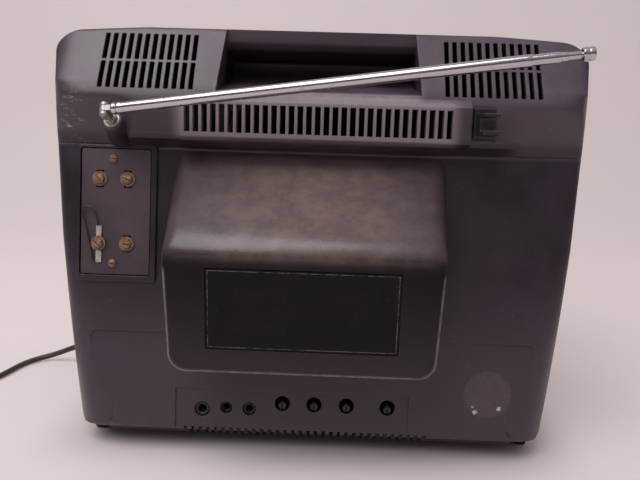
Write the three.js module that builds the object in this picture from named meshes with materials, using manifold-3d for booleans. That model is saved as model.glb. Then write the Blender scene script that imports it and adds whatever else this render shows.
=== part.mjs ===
// Portable television, 12 inch monochrome set, modelled from its back.
// Millimetres, +Z up. The screen faces -Y, the back faces +Y, and from the front +X is to the right.
// The origin is the middle of the base, on the surface that the feet stand on.
// Lengths along Y are written from a datum inside the rear wall, and the whole set is moved to the origin.

import * as THREE from 'three';
import { mergeVertices } from 'three/addons/utils/BufferGeometryUtils.js';
import Module from 'manifold-3d';

const wasm = await Module();
wasm.setup();

// ---------------------------------------------------------------- driving dimensions

const DATUM_Y = 83.93;            // where the rear datum lies in the part's own frame
const WALL = 2.8;                 // moulded wall of the cabinet
const GAP = 0.3;                  // gap between pieces that touch

const COVER = {
  frontY: -154.7, top: 294.3, bottom: 15, frontBottom: 8,
  halfFront: 188, half: 179.5, tuck: 11.2,
  crown: 6.5, cornerTop: 22, cornerBottom: 12,
  rearCorner: { x: 36, y: 32, reach: 13.6 },
};
const BEZEL = { backY: -155, faceY: -215, half: 192.5, top: 295, bottom: 6, crown: 6.5 };
const TUCK_FROM = 200;            // the sides lean in below this height
const FACE_SLOPE = 0.1127;        // the lower rear face comes out by this much for each mm down
const FACE_TILT = Math.atan(FACE_SLOPE);
const FACE_FOOT_Y = 8;            // where that face is at the height FACE_FOOT_Z
const FACE_FOOT_Z = 80;
const LEDGE = { y: 8, bottom: 221.5, top: 245, slope: 0.4827 };
const NECK_BOX = { x: 4.15, halfNear: 84.7, halfFar: 91, top: 159.3, bottom: 77, nearY: 59, lean: 0.0435 };
const SCREEN = { x: -46, z: 148, width: 250, height: 196 };
const ROD_RADII = [3.5, 3.05, 2.6, 2.15, 1.7];
const ROD_WALL = 0.3;

const lowerFaceY = (z) => FACE_FOOT_Y - FACE_SLOPE * (z - FACE_FOOT_Z);

// ---------------------------------------------------------------- shape helpers

// Volume inside a mesh, negative where its faces point in.
function signedVolume(positions, index) {
  const corner = (i) => new THREE.Vector3().fromArray(positions, 3 * index[i]);
  let volume = 0;
  for (let i = 0; i < index.length; i += 3) {
    volume += corner(i).dot(corner(i + 1).cross(corner(i + 2))) / 6;
  }
  return volume;
}

// A closed solid from any closed geometry, turned so that its faces point out.
function solidFrom(geometry) {
  const bare = geometry.clone();
  bare.deleteAttribute('normal');
  bare.deleteAttribute('uv');
  const merged = mergeVertices(bare, 1e-4);
  const vertProperties = new Float32Array(merged.attributes.position.array);
  const triVerts = new Uint32Array(merged.index.array);
  if (signedVolume(vertProperties, triVerts) < 0) triVerts.reverse();
  return new wasm.Manifold(new wasm.Mesh({ numProp: 3, vertProperties, triVerts }));
}

function geometryFrom(solid) {
  const mesh = solid.getMesh();
  const geometry = new THREE.BufferGeometry();
  geometry.setAttribute('position', new THREE.BufferAttribute(mesh.vertProperties, 3));
  geometry.setIndex(new THREE.BufferAttribute(mesh.triVerts, 1));
  return geometry;
}

const union = (...solids) => solids.reduce((sum, next) => sum.add(next));
const subtract = (body, ...tools) => tools.reduce((rest, next) => rest.subtract(next), body);
const intersect = (...solids) => solids.reduce((part, next) => part.intersect(next));

function box([x0, x1], [y0, y1], [z0, z1]) {
  const geometry = new THREE.BoxGeometry(x1 - x0, y1 - y0, z1 - z0);
  geometry.translate((x0 + x1) / 2, (y0 + y1) / 2, (z0 + z1) / 2);
  return solidFrom(geometry);
}

function extrude(points, depth, basis, start) {
  const shape = new THREE.Shape(points.map(([u, v]) => new THREE.Vector2(u, v)));
  const geometry = new THREE.ExtrudeGeometry(shape, { depth, bevelEnabled: false, steps: 1 });
  geometry.translate(0, 0, start);
  geometry.applyMatrix4(basis);
  return solidFrom(geometry);
}

const AXIS = { x: new THREE.Vector3(1, 0, 0), y: new THREE.Vector3(0, 1, 0), z: new THREE.Vector3(0, 0, 1) };
const ALONG_X = new THREE.Matrix4().makeBasis(AXIS.y, AXIS.z, AXIS.x);
const ALONG_Y = new THREE.Matrix4().makeBasis(AXIS.z, AXIS.x, AXIS.y);
const ALONG_Z = new THREE.Matrix4();

// A side view (y, z), a plan (x, y) or a front view (x, z) drawn out along the third axis.
const sideViewPrism = (points, x0, x1) => extrude(points, x1 - x0, ALONG_X, x0);
const frontViewPrism = (points, y0, y1) => extrude(points.map(([x, z]) => [z, x]), y1 - y0, ALONG_Y, y0);

function roundedRect(cx, cz, width, height, radius, steps = 4) {
  const points = [];
  const corners = [[1, 1, 0], [-1, 1, 1], [-1, -1, 2], [1, -1, 3]];
  for (const [sx, sz, quarter] of corners) {
    for (let i = 0; i <= steps; i++) {
      const angle = (quarter + i / steps) * Math.PI / 2;
      const x = cx + sx * (width / 2 - radius) + radius * Math.cos(angle);
      const z = cz + sz * (height / 2 - radius) + radius * Math.sin(angle);
      points.push([x, z]);
    }
  }
  return points;
}

// A turned piece. The profile is [radius, length] pairs, from axis to axis or closed on itself.
function turned(profile, segments = 16) {
  return new THREE.LatheGeometry(profile.map(([r, h]) => new THREE.Vector2(r, h)), segments);
}

// A turned piece whose axis is Y at (x, z), with its lengths measured along Y.
function turnedAlongY(profile, x, z, segments = 16) {
  return turned(profile, segments).translate(x, 0, z);
}

const rodAlongY = (x, z, radius, y0, y1, segments = 16) =>
  solidFrom(turnedAlongY([[0, y0], [radius, y0], [radius, y1], [0, y1]], x, z, segments));

// A skin through closed sections of equal length, shut with a flat fan at each end.
function loft(sections) {
  const count = sections[0].length;
  const positions = [];
  const triangle = (a, b, c) => positions.push(...a, ...b, ...c);
  for (let s = 0; s + 1 < sections.length; s++) {
    for (let i = 0; i < count; i++) {
      const j = (i + 1) % count;
      triangle(sections[s][i], sections[s][j], sections[s + 1][j]);
      triangle(sections[s][i], sections[s + 1][j], sections[s + 1][i]);
    }
  }
  const fan = (ring, turn) => {
    const middle = [0, 1, 2].map((k) => ring.reduce((sum, point) => sum + point[k], 0) / count);
    for (let i = 0; i < count; i++) {
      const next = ring[(i + 1) % count];
      if (turn) triangle(middle, next, ring[i]);
      else triangle(middle, ring[i], next);
    }
  };
  fan(sections[0], true);
  fan(sections[sections.length - 1], false);
  const geometry = new THREE.BufferGeometry();
  geometry.setAttribute('position', new THREE.Float32BufferAttribute(positions, 3));
  return solidFrom(geometry);
}

// A tube of a given section radius through points, on a smooth curve.
function tube(points, radius, steps, sides = 8) {
  const through = points.map((point) => new THREE.Vector3(...point));
  const curve = new THREE.CatmullRomCurve3(through, false, 'centripetal');
  const section = new THREE.Shape();
  for (let i = 0; i < sides; i++) {
    const angle = 2 * Math.PI * i / sides;
    const move = i === 0 ? 'moveTo' : 'lineTo';
    section[move](radius * Math.cos(angle), radius * Math.sin(angle));
  }
  return new THREE.ExtrudeGeometry(section, { steps, bevelEnabled: false, extrudePath: curve });
}

// ---------------------------------------------------------------- colours

const paint = (color, roughness, metalness = 0) =>
  new THREE.MeshStandardMaterial({ color, roughness, metalness });
const LOOK = {
  cabinet: paint(0x29262a, 0.62),
  trim: paint(0x171518, 0.45),
  satin: paint(0x8d8f92, 0.4, 0.8),
  chrome: paint(0xcfd0d2, 0.16, 1),
  steel: paint(0x9a9ca0, 0.45, 0.9),
  rust: paint(0x7a4a35, 0.85, 0.5),
  pot_metal: paint(0x8f928c, 0.6, 0.7),
  glass: paint(0x4a5250, 0.12),
  board: paint(0x6d5a2e, 0.7),
  copper: paint(0x8a4a22, 0.4, 0.7),
  rubber: paint(0x161616, 0.85),
  label: paint(0x141216, 0.35),
  bakelite: paint(0x2a2529, 0.55),
  cord: paint(0x2c2729, 0.6),
};

const television = new THREE.Group();
television.position.y = DATUM_Y;

function add(name, shape, material, parent = television) {
  const geometry = geometryFrom(shape.getMesh ? shape : solidFrom(shape));
  const mesh = new THREE.Mesh(geometry, material);
  mesh.name = name;
  parent.add(mesh);
  return mesh;
}

// ---------------------------------------------------------------- cabinet outlines

// How far the sides have come in at a height.
const tuckedIn = (z, tuck) => tuck * (Math.max(0, TUCK_FROM - z) / 185) ** 1.63;

// Front view of the cabinet: sides that lean in towards the bottom, a crowned top and rounded corners.
function cabinetOutline({ half, tuck, top, bottom, crown, cornerTop, cornerBottom, inset = 0 }) {
  const points = [];
  const topSteps = 6;
  const arcSteps = 5;
  const sideSteps = [200, 160, 125, 90, 55];
  const sideAt = (z) => half - tuckedIn(z, tuck) - inset;
  const crownAt = (x) => top - inset - crown * (x / half) ** 2;
  const arc = (cx, cz, radius, from) => {
    for (let i = 0; i <= arcSteps; i++) {
      const angle = from + i / arcSteps * Math.PI / 2;
      points.push([cx + radius * Math.cos(angle), cz + radius * Math.sin(angle)]);
    }
  };
  const upper = cornerTop - inset;
  const lower = cornerBottom - inset;
  const xTop = sideAt(top - cornerTop) - upper;
  const zTop = crownAt(xTop) - upper;
  const xBottom = sideAt(bottom + cornerBottom) - lower;
  arc(xTop, zTop, upper, 0);
  for (let i = 1; i < topSteps; i++) {
    const x = xTop - 2 * xTop * i / topSteps;
    points.push([x, crownAt(x)]);
  }
  arc(-xTop, zTop, upper, Math.PI / 2);
  for (const z of sideSteps) points.push([-sideAt(z), z]);
  arc(-xBottom, bottom + inset + lower, lower, Math.PI);
  arc(xBottom, bottom + inset + lower, lower, 1.5 * Math.PI);
  for (const z of [...sideSteps].reverse()) points.push([sideAt(z), z]);
  return points;
}

const section = (outline, y) => outline.map(([x, z]) => [x, y, z]);

// The cover's top, sides and bottom, from the bezel to past its back.
function coverSides(inset) {
  const { frontY, top, bottom, frontBottom, halfFront, half, tuck, crown, cornerTop, cornerBottom } = COVER;
  const common = { top, crown, cornerTop, inset };
  const open = inset > 0 ? 5 : 0;
  const front = { ...common, half: halfFront, tuck: 1.5, bottom: frontBottom, cornerBottom: 18 };
  const rear = { ...common, half, tuck, bottom, cornerBottom };
  const waist = { ...rear, half: half + 2.5, tuck: tuck - 2.9 };
  return loft([
    section(cabinetOutline(front), frontY - open), section(cabinetOutline(waist), -60),
    section(cabinetOutline(rear), -20), section(cabinetOutline(rear), 26),
  ]);
}

// Where the back is at each level [y, z]: sloping upper face, ledge, leaning lower face, rounded lower edge.
function backLevels(inset) {
  const edge = 10;
  const steps = 4;
  const lip = COVER.bottom + edge;
  const above = COVER.top + 2;
  const sunk = inset > 0 ? LOWER_PANEL.depth : 0;
  const levels = [
    [LEDGE.y - LEDGE.slope * (above - LEDGE.top) - inset * 1.1, above],
    [LEDGE.y - inset, LEDGE.top - inset * 0.3],
    [LEDGE.y + 0.4 - inset, LEDGE.bottom + inset],
    [LEDGE.y - 3 - inset, LEDGE.bottom - 4 + inset],
    [lowerFaceY(212) - inset, 211.5 + inset * 0.2],
    [lowerFaceY(170) - inset, 170],
    [lowerFaceY(130) - inset, 130],
    [lowerFaceY(LOWER_PANEL.top) - sunk - inset, LOWER_PANEL.top],
    [lowerFaceY(55) - sunk - inset, 55],
  ];
  for (let i = 0; i <= steps; i++) {
    const angle = i / steps * Math.PI / 2;
    const y = lowerFaceY(lip) - sunk - inset - edge * (1 - Math.cos(angle));
    levels.push([y, lip - (edge - inset) * Math.sin(angle)]);
  }
  levels.push([levels[levels.length - 1][0], COVER.bottom + inset - 3]);
  return levels;
}

// Plans of the back at those levels: an elliptical corner cut off by the face.
function backStack(inset) {
  const { x: across, y: along, reach } = COVER.rearCorner;
  const cornerSteps = 6;
  return loft(backLevels(inset).map(([face, z]) => {
    const half = COVER.half - tuckedIn(z, COVER.tuck) - inset;
    const side = [[half + 26, -190]];
    for (let i = 0; i <= cornerSteps; i++) {
      const angle = i / cornerSteps * Math.PI / 2;
      const y = reach - inset - along * (1 - Math.sin(angle));
      side.push([half - across * (1 - Math.cos(angle)), Math.min(y, face)]);
    }
    side.splice(1, 0, [half + 6, side[1][1] - 0.5]);
    return [...side, ...side.map(([x, y]) => [-x, y]).reverse()].map(([x, y]) => [x, y, z]);
  }));
}

// The boss over the neck of the tube, sloping on top.
function neckBox(inset) {
  const { x, halfNear, halfFar, top, bottom, nearY, lean } = NECK_BOX;
  const ring = (y, half, zTop, zBottom, radius) => {
    const middle = (zTop + zBottom) / 2;
    const width = 2 * (half - inset);
    const height = zTop - zBottom - 2 * inset;
    const outline = roundedRect(x, middle, width, height, radius - inset * 0.6, 3);
    const taper = 0.035;
    const leaning = y > 40 ? lean : 0;
    return outline.map(([px, z]) => {
      const narrowed = x + (px - x) * (1 + taper * (z - zTop) / (zTop - zBottom));
      return [narrowed, y + leaning * (z - 118.5) - (y > 40 ? inset : 0), z];
    });
  };
  return loft([
    ring(-16 - inset, halfFar + 1, 216.5, 66, 9),
    ring(-7 - inset, halfFar, 210, 68, 9),
    ring(nearY - 11, halfNear + 0.4, top + 6.5, bottom - 1, 10),
    ring(nearY - 5, halfNear, top + 1.8, bottom, 11),
    ring(nearY - 1.9, halfNear - 0.8, top - 2, bottom + 0.8, 12),
    ring(nearY, halfNear - 3.6, top - 7.6, bottom + 3.6, 12),
  ]);
}

// The hand recess in the top: a floor that climbs forwards and a grip bar that hangs over it.
function handRecess(inset) {
  const width = (z) => 63 + (294 - z) * 0.085 + inset;
  const profile = [
    [40, 310], [40, 248.6 - inset], [4 + inset * 0.4, 249.2 - inset], [-44, 260 - inset],
    [-57 - inset, 268 - inset * 0.5], [-57 - inset, 276 + inset], [-24 - inset, 279 + inset],
    [-18 - inset, 284 + inset], [-18 - inset, 310],
  ];
  const [above, below] = [310, 240];
  const wedge = frontViewPrism([
    [width(above), above], [-width(above), above], [-width(below), below], [width(below), below],
  ], -80, 60);
  return intersect(sideViewPrism(profile, -90, 90), wedge);
}

// ---------------------------------------------------------------- rear cover

const SIDE_GRILLE = {
  inner: 81.6, outer: 144.2, top: 286.4, bottom: 249.4, columns: 12, slot: 3.1, middle: 1.6,
};
const RIB_GRILLE = { left: 85.6, right: -86, top: 240.4, bottom: 222.6, slots: 31, bar: 2.0 };
const FLOOR_VENTS = { from: 86, to: -80, count: 32, width: 2.4 };
const LOWER_PANEL = { half: 152.5, top: 86, depth: 1.2 };
const CONTROL_BAY = { left: 93, right: -68.5, top: 47.5, depth: 1.2 };
const JACKS = [
  { name: 'earphone_jack', x: 74.4, z: 32.4, hole: 5.3 },
  { name: 'aux_jack', x: 57.7, z: 34.2, hole: 4.2 },
  { name: 'dc_power_jack', x: 41.6, z: 33.8, hole: 4.6 },
];
const SHAFTS = [
  { name: 'vertical_hold_shaft', x: 18.6, z: 38.4 },
  { name: 'vertical_size_shaft', x: -3.4, z: 38.4 },
  { name: 'vertical_linearity_shaft', x: -25.8, z: 38.4 },
  { name: 'horizontal_hold_shaft', x: -54.1, z: 38.2 },
];
const SHAFT_HOLE = 5.3;
const TERMINALS = { x: 136.2, z: 167, width: 47.1, height: 85.5, rim: 3.7, pitch: 19.05 };
const BOARD_CLEARANCE = 0.7;
const BOARD_LIP = 3;
const LABEL = { z: 118.5, width: 115, height: 49.5, depth: 1 };
const CORD_EXIT = { y: -140.5, z: 22, hole: 5.2 };

function sideGrilleSlots() {
  const { inner, outer, top, bottom, columns, slot, middle } = SIDE_GRILLE;
  const pitch = (outer - inner - slot) / (columns - 1);
  const half = (top + bottom) / 2;
  const slots = [];
  for (const side of [1, -1]) {
    for (let i = 0; i < columns; i++) {
      const near = inner + i * pitch;
      const span = side > 0 ? [near, near + slot] : [-near - slot, -near];
      slots.push(box(span, [-26, 20], [half + middle / 2, top]));
      slots.push(box(span, [-20, 24], [bottom, half - middle / 2]));
    }
  }
  return slots;
}

function ribGrilleSlots() {
  const { left, right, top, bottom, slots, bar } = RIB_GRILLE;
  const pitch = (left - right + bar) / slots;
  return Array.from({ length: slots }, (_, i) => {
    const x = right + i * pitch;
    return box([x, x + pitch - bar], [0, 30], [bottom, top]);
  });
}

function floorVents() {
  const { from, to, count, width } = FLOOR_VENTS;
  const pitch = (from - to) / (count - 1);
  return Array.from({ length: count }, (_, i) => {
    const x = to + i * pitch;
    return box([x - width / 2, x + width / 2], [-14.5, 20], [2, 20]);
  });
}

// A block that lies on the leaning lower face, given in that face's own directions.
function onLowerFace(x, z, width, height, from, to, radius = 1) {
  const shape = frontViewPrism(roundedRect(0, 0, width, height, radius, 3), from, to);
  return shape.rotate([THREE.MathUtils.radToDeg(FACE_TILT), 0, 0]).translate([x, lowerFaceY(z), z]);
}

function rearCover() {
  const ribBlock = sideViewPrism([
    [0, 247.2], [7.4, 247.2], [12.4, 242.6], [12.9, 219.6], [6, 216.8], [0, 216.8],
  ], -98.6, 100);
  const aroundBoard = (grow, shift, from, to) => {
    const { x, z, width, height } = TERMINALS;
    return onLowerFace(x - shift, z - shift, width + 2 * grow, height + 2 * grow, from, to, 2);
  };
  const terminalFrame = aroundBoard(TERMINALS.rim, 1, -6, 1.8);
  const antennaBoss = solidFrom(turned([[0, -9], [8.6, -9], [6.6, 3.4], [5.6, 4.4], [0, 4.4]], 20))
    .rotate([THREE.MathUtils.radToDeg(ANTENNA.lean), 0, 0]).translate(ANTENNA.root);
  const rail = box([-146, 146], [-14, -6], [6, 17.5]);
  const blank = (inset) => intersect(coverSides(inset), backStack(inset));
  const clipPad = box([-113.8, -99.5], [0, 10.6], [223.5, 243]);
  const outside = union(blank(0), neckBox(0), ribBlock, terminalFrame, antennaBoss, rail, clipPad);
  const housing = intersect(handRecess(WALL), box([-100, 100], [-90, 40], [200, 320]));
  const hollow = subtract(union(blank(WALL), neckBox(WALL)), housing);
  const shell = subtract(outside, hollow, handRecess(0));

  const faceAt = (z) => lowerFaceY(z) - LOWER_PANEL.depth;
  const panel = intersect(
    sideViewPrism([[faceAt(LOWER_PANEL.top), LOWER_PANEL.top], [faceAt(5), 5], [40, 5], [40, LOWER_PANEL.top]],
      -LOWER_PANEL.half, LOWER_PANEL.half),
    frontViewPrism(roundedRect(0, 40, 2 * LOWER_PANEL.half, 2 * (LOWER_PANEL.top - 40), 4, 3), -20, 60));
  const bay = sideViewPrism([
    [faceAt(CONTROL_BAY.top) - CONTROL_BAY.depth, CONTROL_BAY.top],
    [faceAt(19) - CONTROL_BAY.depth, 19],
    [40, 19],
    [40, CONTROL_BAY.top],
  ], CONTROL_BAY.right, CONTROL_BAY.left);
  const holes = [
    ...JACKS.map(({ x, z, hole }) => rodAlongY(x, z, hole, -10, 30, 14)),
    ...SHAFTS.map(({ x, z }) => rodAlongY(x, z, SHAFT_HOLE, -10, 30, 14)),
  ];
  const boardSeat = aroundBoard(BOARD_CLEARANCE, 0, -0.6, 9);
  const boardWindow = aroundBoard(-BOARD_LIP, 0, -20, 9);
  const labelSeat = labelBlock(LABEL.width + 1, LABEL.height + 1, -LABEL.depth, 8);
  const cordHole = solidFrom(turned([[0, 170], [CORD_EXIT.hole, 170], [CORD_EXIT.hole, 200], [0, 200]], 12))
    .rotate([0, 0, -90]).translate([0, CORD_EXIT.y, CORD_EXIT.z]);
  const { bushRadius, lean, root } = ANTENNA;
  const swivelHole = solidFrom(turned([[0, -20], [bushRadius, -20], [bushRadius, 10], [0, 10]], 16))
    .rotate([THREE.MathUtils.radToDeg(lean), 0, 0]).translate(root);
  const screwHoles = COVER_SCREWS.map((x) => solidFrom(turned([[0, 5], [2.2, 5], [2.2, 27], [0, 27]], 10))
    .rotate([90, 0, 0]).translate([x, -40, 0]));
  return subtract(shell, panel, bay, ...holes, boardSeat, boardWindow, labelSeat, cordHole, swivelHole,
    ...screwHoles, ...sideGrilleSlots(), ...ribGrilleSlots(), ...floorVents());
}

// A block on the near face of the neck box, in that face's own directions.
function labelBlock(width, height, from, to) {
  const lean = -THREE.MathUtils.radToDeg(Math.atan(NECK_BOX.lean));
  const block = frontViewPrism(roundedRect(0, 0, width, height, 1, 2), from, to);
  return block.rotate([lean, 0, 0]).translate([NECK_BOX.x, NECK_BOX.nearY, LABEL.z]);
}

const COVER_SCREWS = [120, -120];

// ---------------------------------------------------------------- antenna

const ANTENNA = {
  pivot: new THREE.Vector3(132.4, 24, 234.1),     // pin between the swivel and the rod
  tip: new THREE.Vector3(-150.4, 60, 270.1),      // a point that the rod's axis aims at, at rest
  lean: THREE.MathUtils.degToRad(25),             // the swivel's axis leans up out of the cabinet
  standOff: 18,                                   // from the cabinet to the pin
  bushRadius: 4.2,
};
ANTENNA.axis = new THREE.Vector3(0, Math.cos(ANTENNA.lean), Math.sin(ANTENNA.lean));
ANTENNA.root = ANTENNA.pivot.clone().addScaledVector(ANTENNA.axis, -ANTENNA.standOff).toArray();
ANTENNA.rod = ANTENNA.tip.clone().sub(ANTENNA.pivot).normalize();
ANTENNA.pin = new THREE.Vector3().crossVectors(ANTENNA.rod, ANTENNA.axis).normalize();

// Turns a group so that its Y axis is the swivel's axis and its Z axis is close to the knuckle pin.
function swivelFrame() {
  const frame = new THREE.Group();
  const side = new THREE.Vector3().crossVectors(ANTENNA.axis, ANTENNA.pin).normalize();
  frame.quaternion.setFromRotationMatrix(new THREE.Matrix4().makeBasis(side, ANTENNA.axis, ANTENNA.pin));
  frame.position.copy(ANTENNA.pivot);
  television.add(frame);
  return frame;
}

// Turns a group so that its Y axis runs along the rod and its Z axis is the knuckle pin.
function rodFrame() {
  const frame = new THREE.Group();
  const side = new THREE.Vector3().crossVectors(ANTENNA.rod, ANTENNA.pin).normalize();
  frame.quaternion.setFromRotationMatrix(new THREE.Matrix4().makeBasis(side, ANTENNA.rod, ANTENNA.pin));
  frame.position.copy(ANTENNA.pivot);
  television.add(frame);
  return frame;
}

const KNUCKLE = { tongue: 1.8, ear: 2.2, gap: 0.25, radius: 2.8, pin: 1.2 };
const SECTION_ENDS = [255, 270, 274, 281];        // how far each section reaches when the rod is pushed in

function antennaParts() {
  const swivel = swivelFrame();
  const bush = turned([
    [0, -22], [3.2, -22], [3.2, -13.6], [3.9, -13.6], [3.9, -9.4], [0, -9.4],
  ], 16);
  const post = rodAlongY(0, 0, 2.5, -12, -3.2, 12);
  const outerEar = KNUCKLE.tongue + KNUCKLE.gap + KNUCKLE.ear;
  const fork = union(
    solidFrom(bush), post,
    box([-2.6, 2.6], [-5.6, -3.3], [-outerEar, outerEar]),
    ear(KNUCKLE.tongue + KNUCKLE.gap, outerEar),
    ear(-outerEar, -KNUCKLE.tongue - KNUCKLE.gap));
  const pinHole = upright(KNUCKLE.pin + 0.05, -9, 9, 12);
  add('antenna_swivel', subtract(fork, pinHole), LOOK.pot_metal, swivel);
  const pin = union(upright(KNUCKLE.pin, -outerEar - 0.1, outerEar + 0.1, 12),
    upright(1.9, outerEar + 0.05, outerEar + 0.7, 12), upright(1.9, -outerEar - 0.7, -outerEar - 0.05, 12));
  add('antenna_hinge_pin', pin, LOOK.steel, swivel);

  const rod = rodFrame();
  const tongue = union(upright(KNUCKLE.radius, -KNUCKLE.tongue, KNUCKLE.tongue, 16),
    box([-2.2, 2.2], [0, 8], [-KNUCKLE.tongue, KNUCKLE.tongue]));
  const ferrule = solidFrom(turned([
    [0, 5.2], [3.1, 5.2], [3.7, 5.8], [3.7, 8], [3.3, 8.4], [3.3, 8.8], [3.7, 9.2], [3.7, 11.4], [3.5, 12],
    [3.5, 14], [0, 14],
  ], 12));
  const reach = SECTION_ENDS[0];
  const inner = ROD_RADII[0] - ROD_WALL;
  const outerTube = solidFrom(turned([
    [inner, 13.9], [ROD_RADII[0], 13.9], [ROD_RADII[0], reach], [inner, reach], [inner, 13.9],
  ], 12));
  const stem = subtract(union(tongue, ferrule, outerTube), upright(KNUCKLE.pin + 0.05, -9, 9, 12));
  add('antenna_outer_tube', stem, LOOK.chrome, rod);

  for (let i = 1; i < 4; i++) {
    const radius = ROD_RADII[i];
    const bore = radius - ROD_WALL;
    const start = 14.3 + 4 * i;
    const end = SECTION_ENDS[i];
    const ring = turned([[bore, start], [radius, start], [radius, end], [bore, end], [bore, start]], 12);
    add(`antenna_section_${i + 1}`, ring, LOOK.chrome, rod);
  }
  const tipRod = turned([
    [0, 32], [ROD_RADII[4], 32], [ROD_RADII[4], 281.4], [3.85, 281.4], [3.85, 288], [0, 288],
  ], 12);
  add('antenna_tip', tipRod, LOOK.chrome, rod);
}

// One ear of the swivel's fork, and a round bar, both along Z.
function ear(z0, z1) {
  return union(upright(KNUCKLE.radius, z0, z1, 16), box([-2.6, 2.6], [-4, 0], [z0, z1]));
}

function upright(radius, z0, z1, segments = 12) {
  const geometry = turned([[0, z0], [radius, z0], [radius, z1], [0, z1]], segments);
  geometry.rotateX(Math.PI / 2);
  return solidFrom(geometry);
}

// The moulded clip that the rod is pushed into, open to the back.
const CLIP = { x: [-111.3, -101.3], y: [10.9, 30], floor: 20.6, z: 232.2, throat: 4.6, prong: 2.6 };

function antennaClip() {
  const { x, y, floor, z, throat, prong } = CLIP;
  const outline = [
    [y[0], z - throat - prong], [y[1], z - throat - prong * 0.7], [y[1], z - throat + 0.7],
    [y[1] - 2.2, z - throat],
    [floor, z - throat], [floor, z + throat], [y[1] - 2.2, z + throat], [y[1], z + throat - 0.7],
    [y[1], z + throat + prong * 0.7], [y[0], z + throat + prong],
  ];
  return sideViewPrism(outline, x[0], x[1]);
}

// ---------------------------------------------------------------- terminal board

function faceGroup() {
  const group = new THREE.Group();
  group.position.set(TERMINALS.x, lowerFaceY(TERMINALS.z), TERMINALS.z);
  group.rotation.x = FACE_TILT;
  television.add(group);
  return group;
}

function terminalBoard() {
  const group = faceGroup();
  const { width, height, pitch } = TERMINALS;
  const places = [
    ['vhf_terminal_screw_left', 1.3 + pitch / 2, 22.4], ['vhf_terminal_screw_right', 1.3 - pitch / 2, 22.4],
    ['uhf_terminal_screw_left', 1.5 + pitch / 2, -21.6], ['uhf_terminal_screw_right', 1.5 - pitch / 2, -21.6],
  ];
  const fixings = [['board_screw_upper', 1.8, 36.2], ['board_screw_lower', 1.6, -35.2]];
  const plate = frontViewPrism(roundedRect(0, 0, width, height, 2, 3), -0.3, 1.1);
  const slots = places.map(([, x, z]) => box([x - 2.7, x + 2.7], [-3, 3], [z - 5.8, z + 5.8]));
  const bores = fixings.map(([, x, z]) => rodAlongY(x, z, 1.8, -3, 3, 10));
  const bars = places.map(([, x, z]) => box([x - 3.4, x + 3.4], [-3, -0.29], [z - 2.6, z + 2.6]));
  add('terminal_board', subtract(union(subtract(plate, ...slots), ...bars), ...bores,
    ...places.map(([, x, z]) => rodAlongY(x, z, 1.7, -6, 3, 10))), LOOK.bakelite, group);
  for (const [name, x, z] of places) {
    const lift = name === 'uhf_terminal_screw_left' ? 0.9 : 0;
    const profile = [
      [0, -5], [1.4, -5], [1.4, 1.4 + lift], [5.1, 1.4 + lift], [5.1, 2.2 + lift], [3.7, 2.2 + lift],
      [3.7, 3.5 + lift], [2.9, 4.4 + lift], [0, 4.4 + lift],
    ];
    const head = subtract(solidFrom(turnedAlongY(profile, x, z, 12)),
      box([x - 0.4, x + 0.4], [3.5 + lift, 6 + lift], [z - 5, z + 5]));
    add(name, head, LOOK.rust, group);
  }
  for (const [name, x, z] of fixings) {
    const profile = [[0, -6], [1.4, -6], [1.4, 1.4], [2.9, 1.4], [2.6, 2.4], [1.6, 3], [0, 3]];
    add(name, turnedAlongY(profile, x, z, 12), LOOK.rust, group);
  }
  const lug = { x: places[2][1], z: places[2][2] };
  const strip = subtract(box([lug.x - 1.9, lug.x + 1.9], [1.4, 2.0], [lug.z - 13, lug.z + 12]),
    rodAlongY(lug.x, lug.z, 1.7, 0, 4, 10));
  add('terminal_lug', strip, LOOK.steel, group);
  const wire = [
    [lug.x + 0.3, 2.8, -9.7], [12, 3, -5.8], [14, 3.2, 1], [17.6, 3.2, 3.4], [20.8, 3, 2.4], [22, 2.8, -1.4],
    [20.6, 2.6, -7], [18.4, 2.4, -16.7], [15.8, 2.2, -28], [15, 2.1, -34],
  ];
  add('terminal_wire', tube(wire, 0.5, 20, 6), LOOK.cord, group);
}

// ---------------------------------------------------------------- pieces on the back

function backPieces() {
  add('rear_cover', rearCover(), LOOK.cabinet);
  add('rating_plate', labelBlock(LABEL.width, LABEL.height, 0.3 - LABEL.depth, 0), LOOK.label);
  add('antenna_clip', antennaClip(), LOOK.trim);
  for (const { name, x, z, hole } of JACKS) {
    const y = lowerFaceY(z) - 2.6;
    const bore = hole * 0.52;
    const barrel = turnedAlongY([
      [bore, y - 16], [hole - 0.5, y - 16], [hole - 0.5, y - 0.4], [bore, y - 0.4], [bore, y - 16],
    ], x, z, 12);
    add(name, barrel, LOOK.trim);
  }
  for (const { name, x, z } of SHAFTS) {
    const y = lowerFaceY(z) - 2.2;
    const axisZ = z - 1.6;
    const shaft = solidFrom(turnedAlongY([
      [0, y - 30], [7, y - 30], [7, y - 18], [3, y - 18], [3, y - 0.6], [2.6, y], [0, y],
    ], x, axisZ, 12));
    add(name, subtract(shaft, box([x - 0.5, x + 0.5], [y - 2, y + 2], [axisZ - 4, axisZ + 4])), LOOK.trim);
  }
  COVER_SCREWS.forEach((x, i) => {
    const profile = [[0, 12], [3.4, 12], [3.4, 14.4], [1.6, 14.4], [1.6, 19.6], [0, 19.6]];
    const screw = turned(profile, 12);
    screw.rotateX(Math.PI / 2);
    screw.translate(x, -40, 0);
    add(`cover_screw_${i + 1}`, screw, LOOK.steel);
  });
}

function feet() {
  const places = [
    ['foot_rear_left', 157.5, -26, 14.6], ['foot_rear_right', -157.5, -26, 14.6],
    ['foot_front_left', 157.5, -196, 5.7], ['foot_front_right', -157.5, -196, 5.7],
  ];
  for (const [name, x, y, top] of places) {
    const base = roundedRect(x, y, 9, 17, 2, 3).map(([px, py]) => [px, py, 0]);
    const crown = roundedRect(x, y, 13, 21, 3, 3).map(([px, py]) => [px, py, top]);
    add(name, loft([base, crown]), LOOK.rubber);
  }
}

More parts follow.
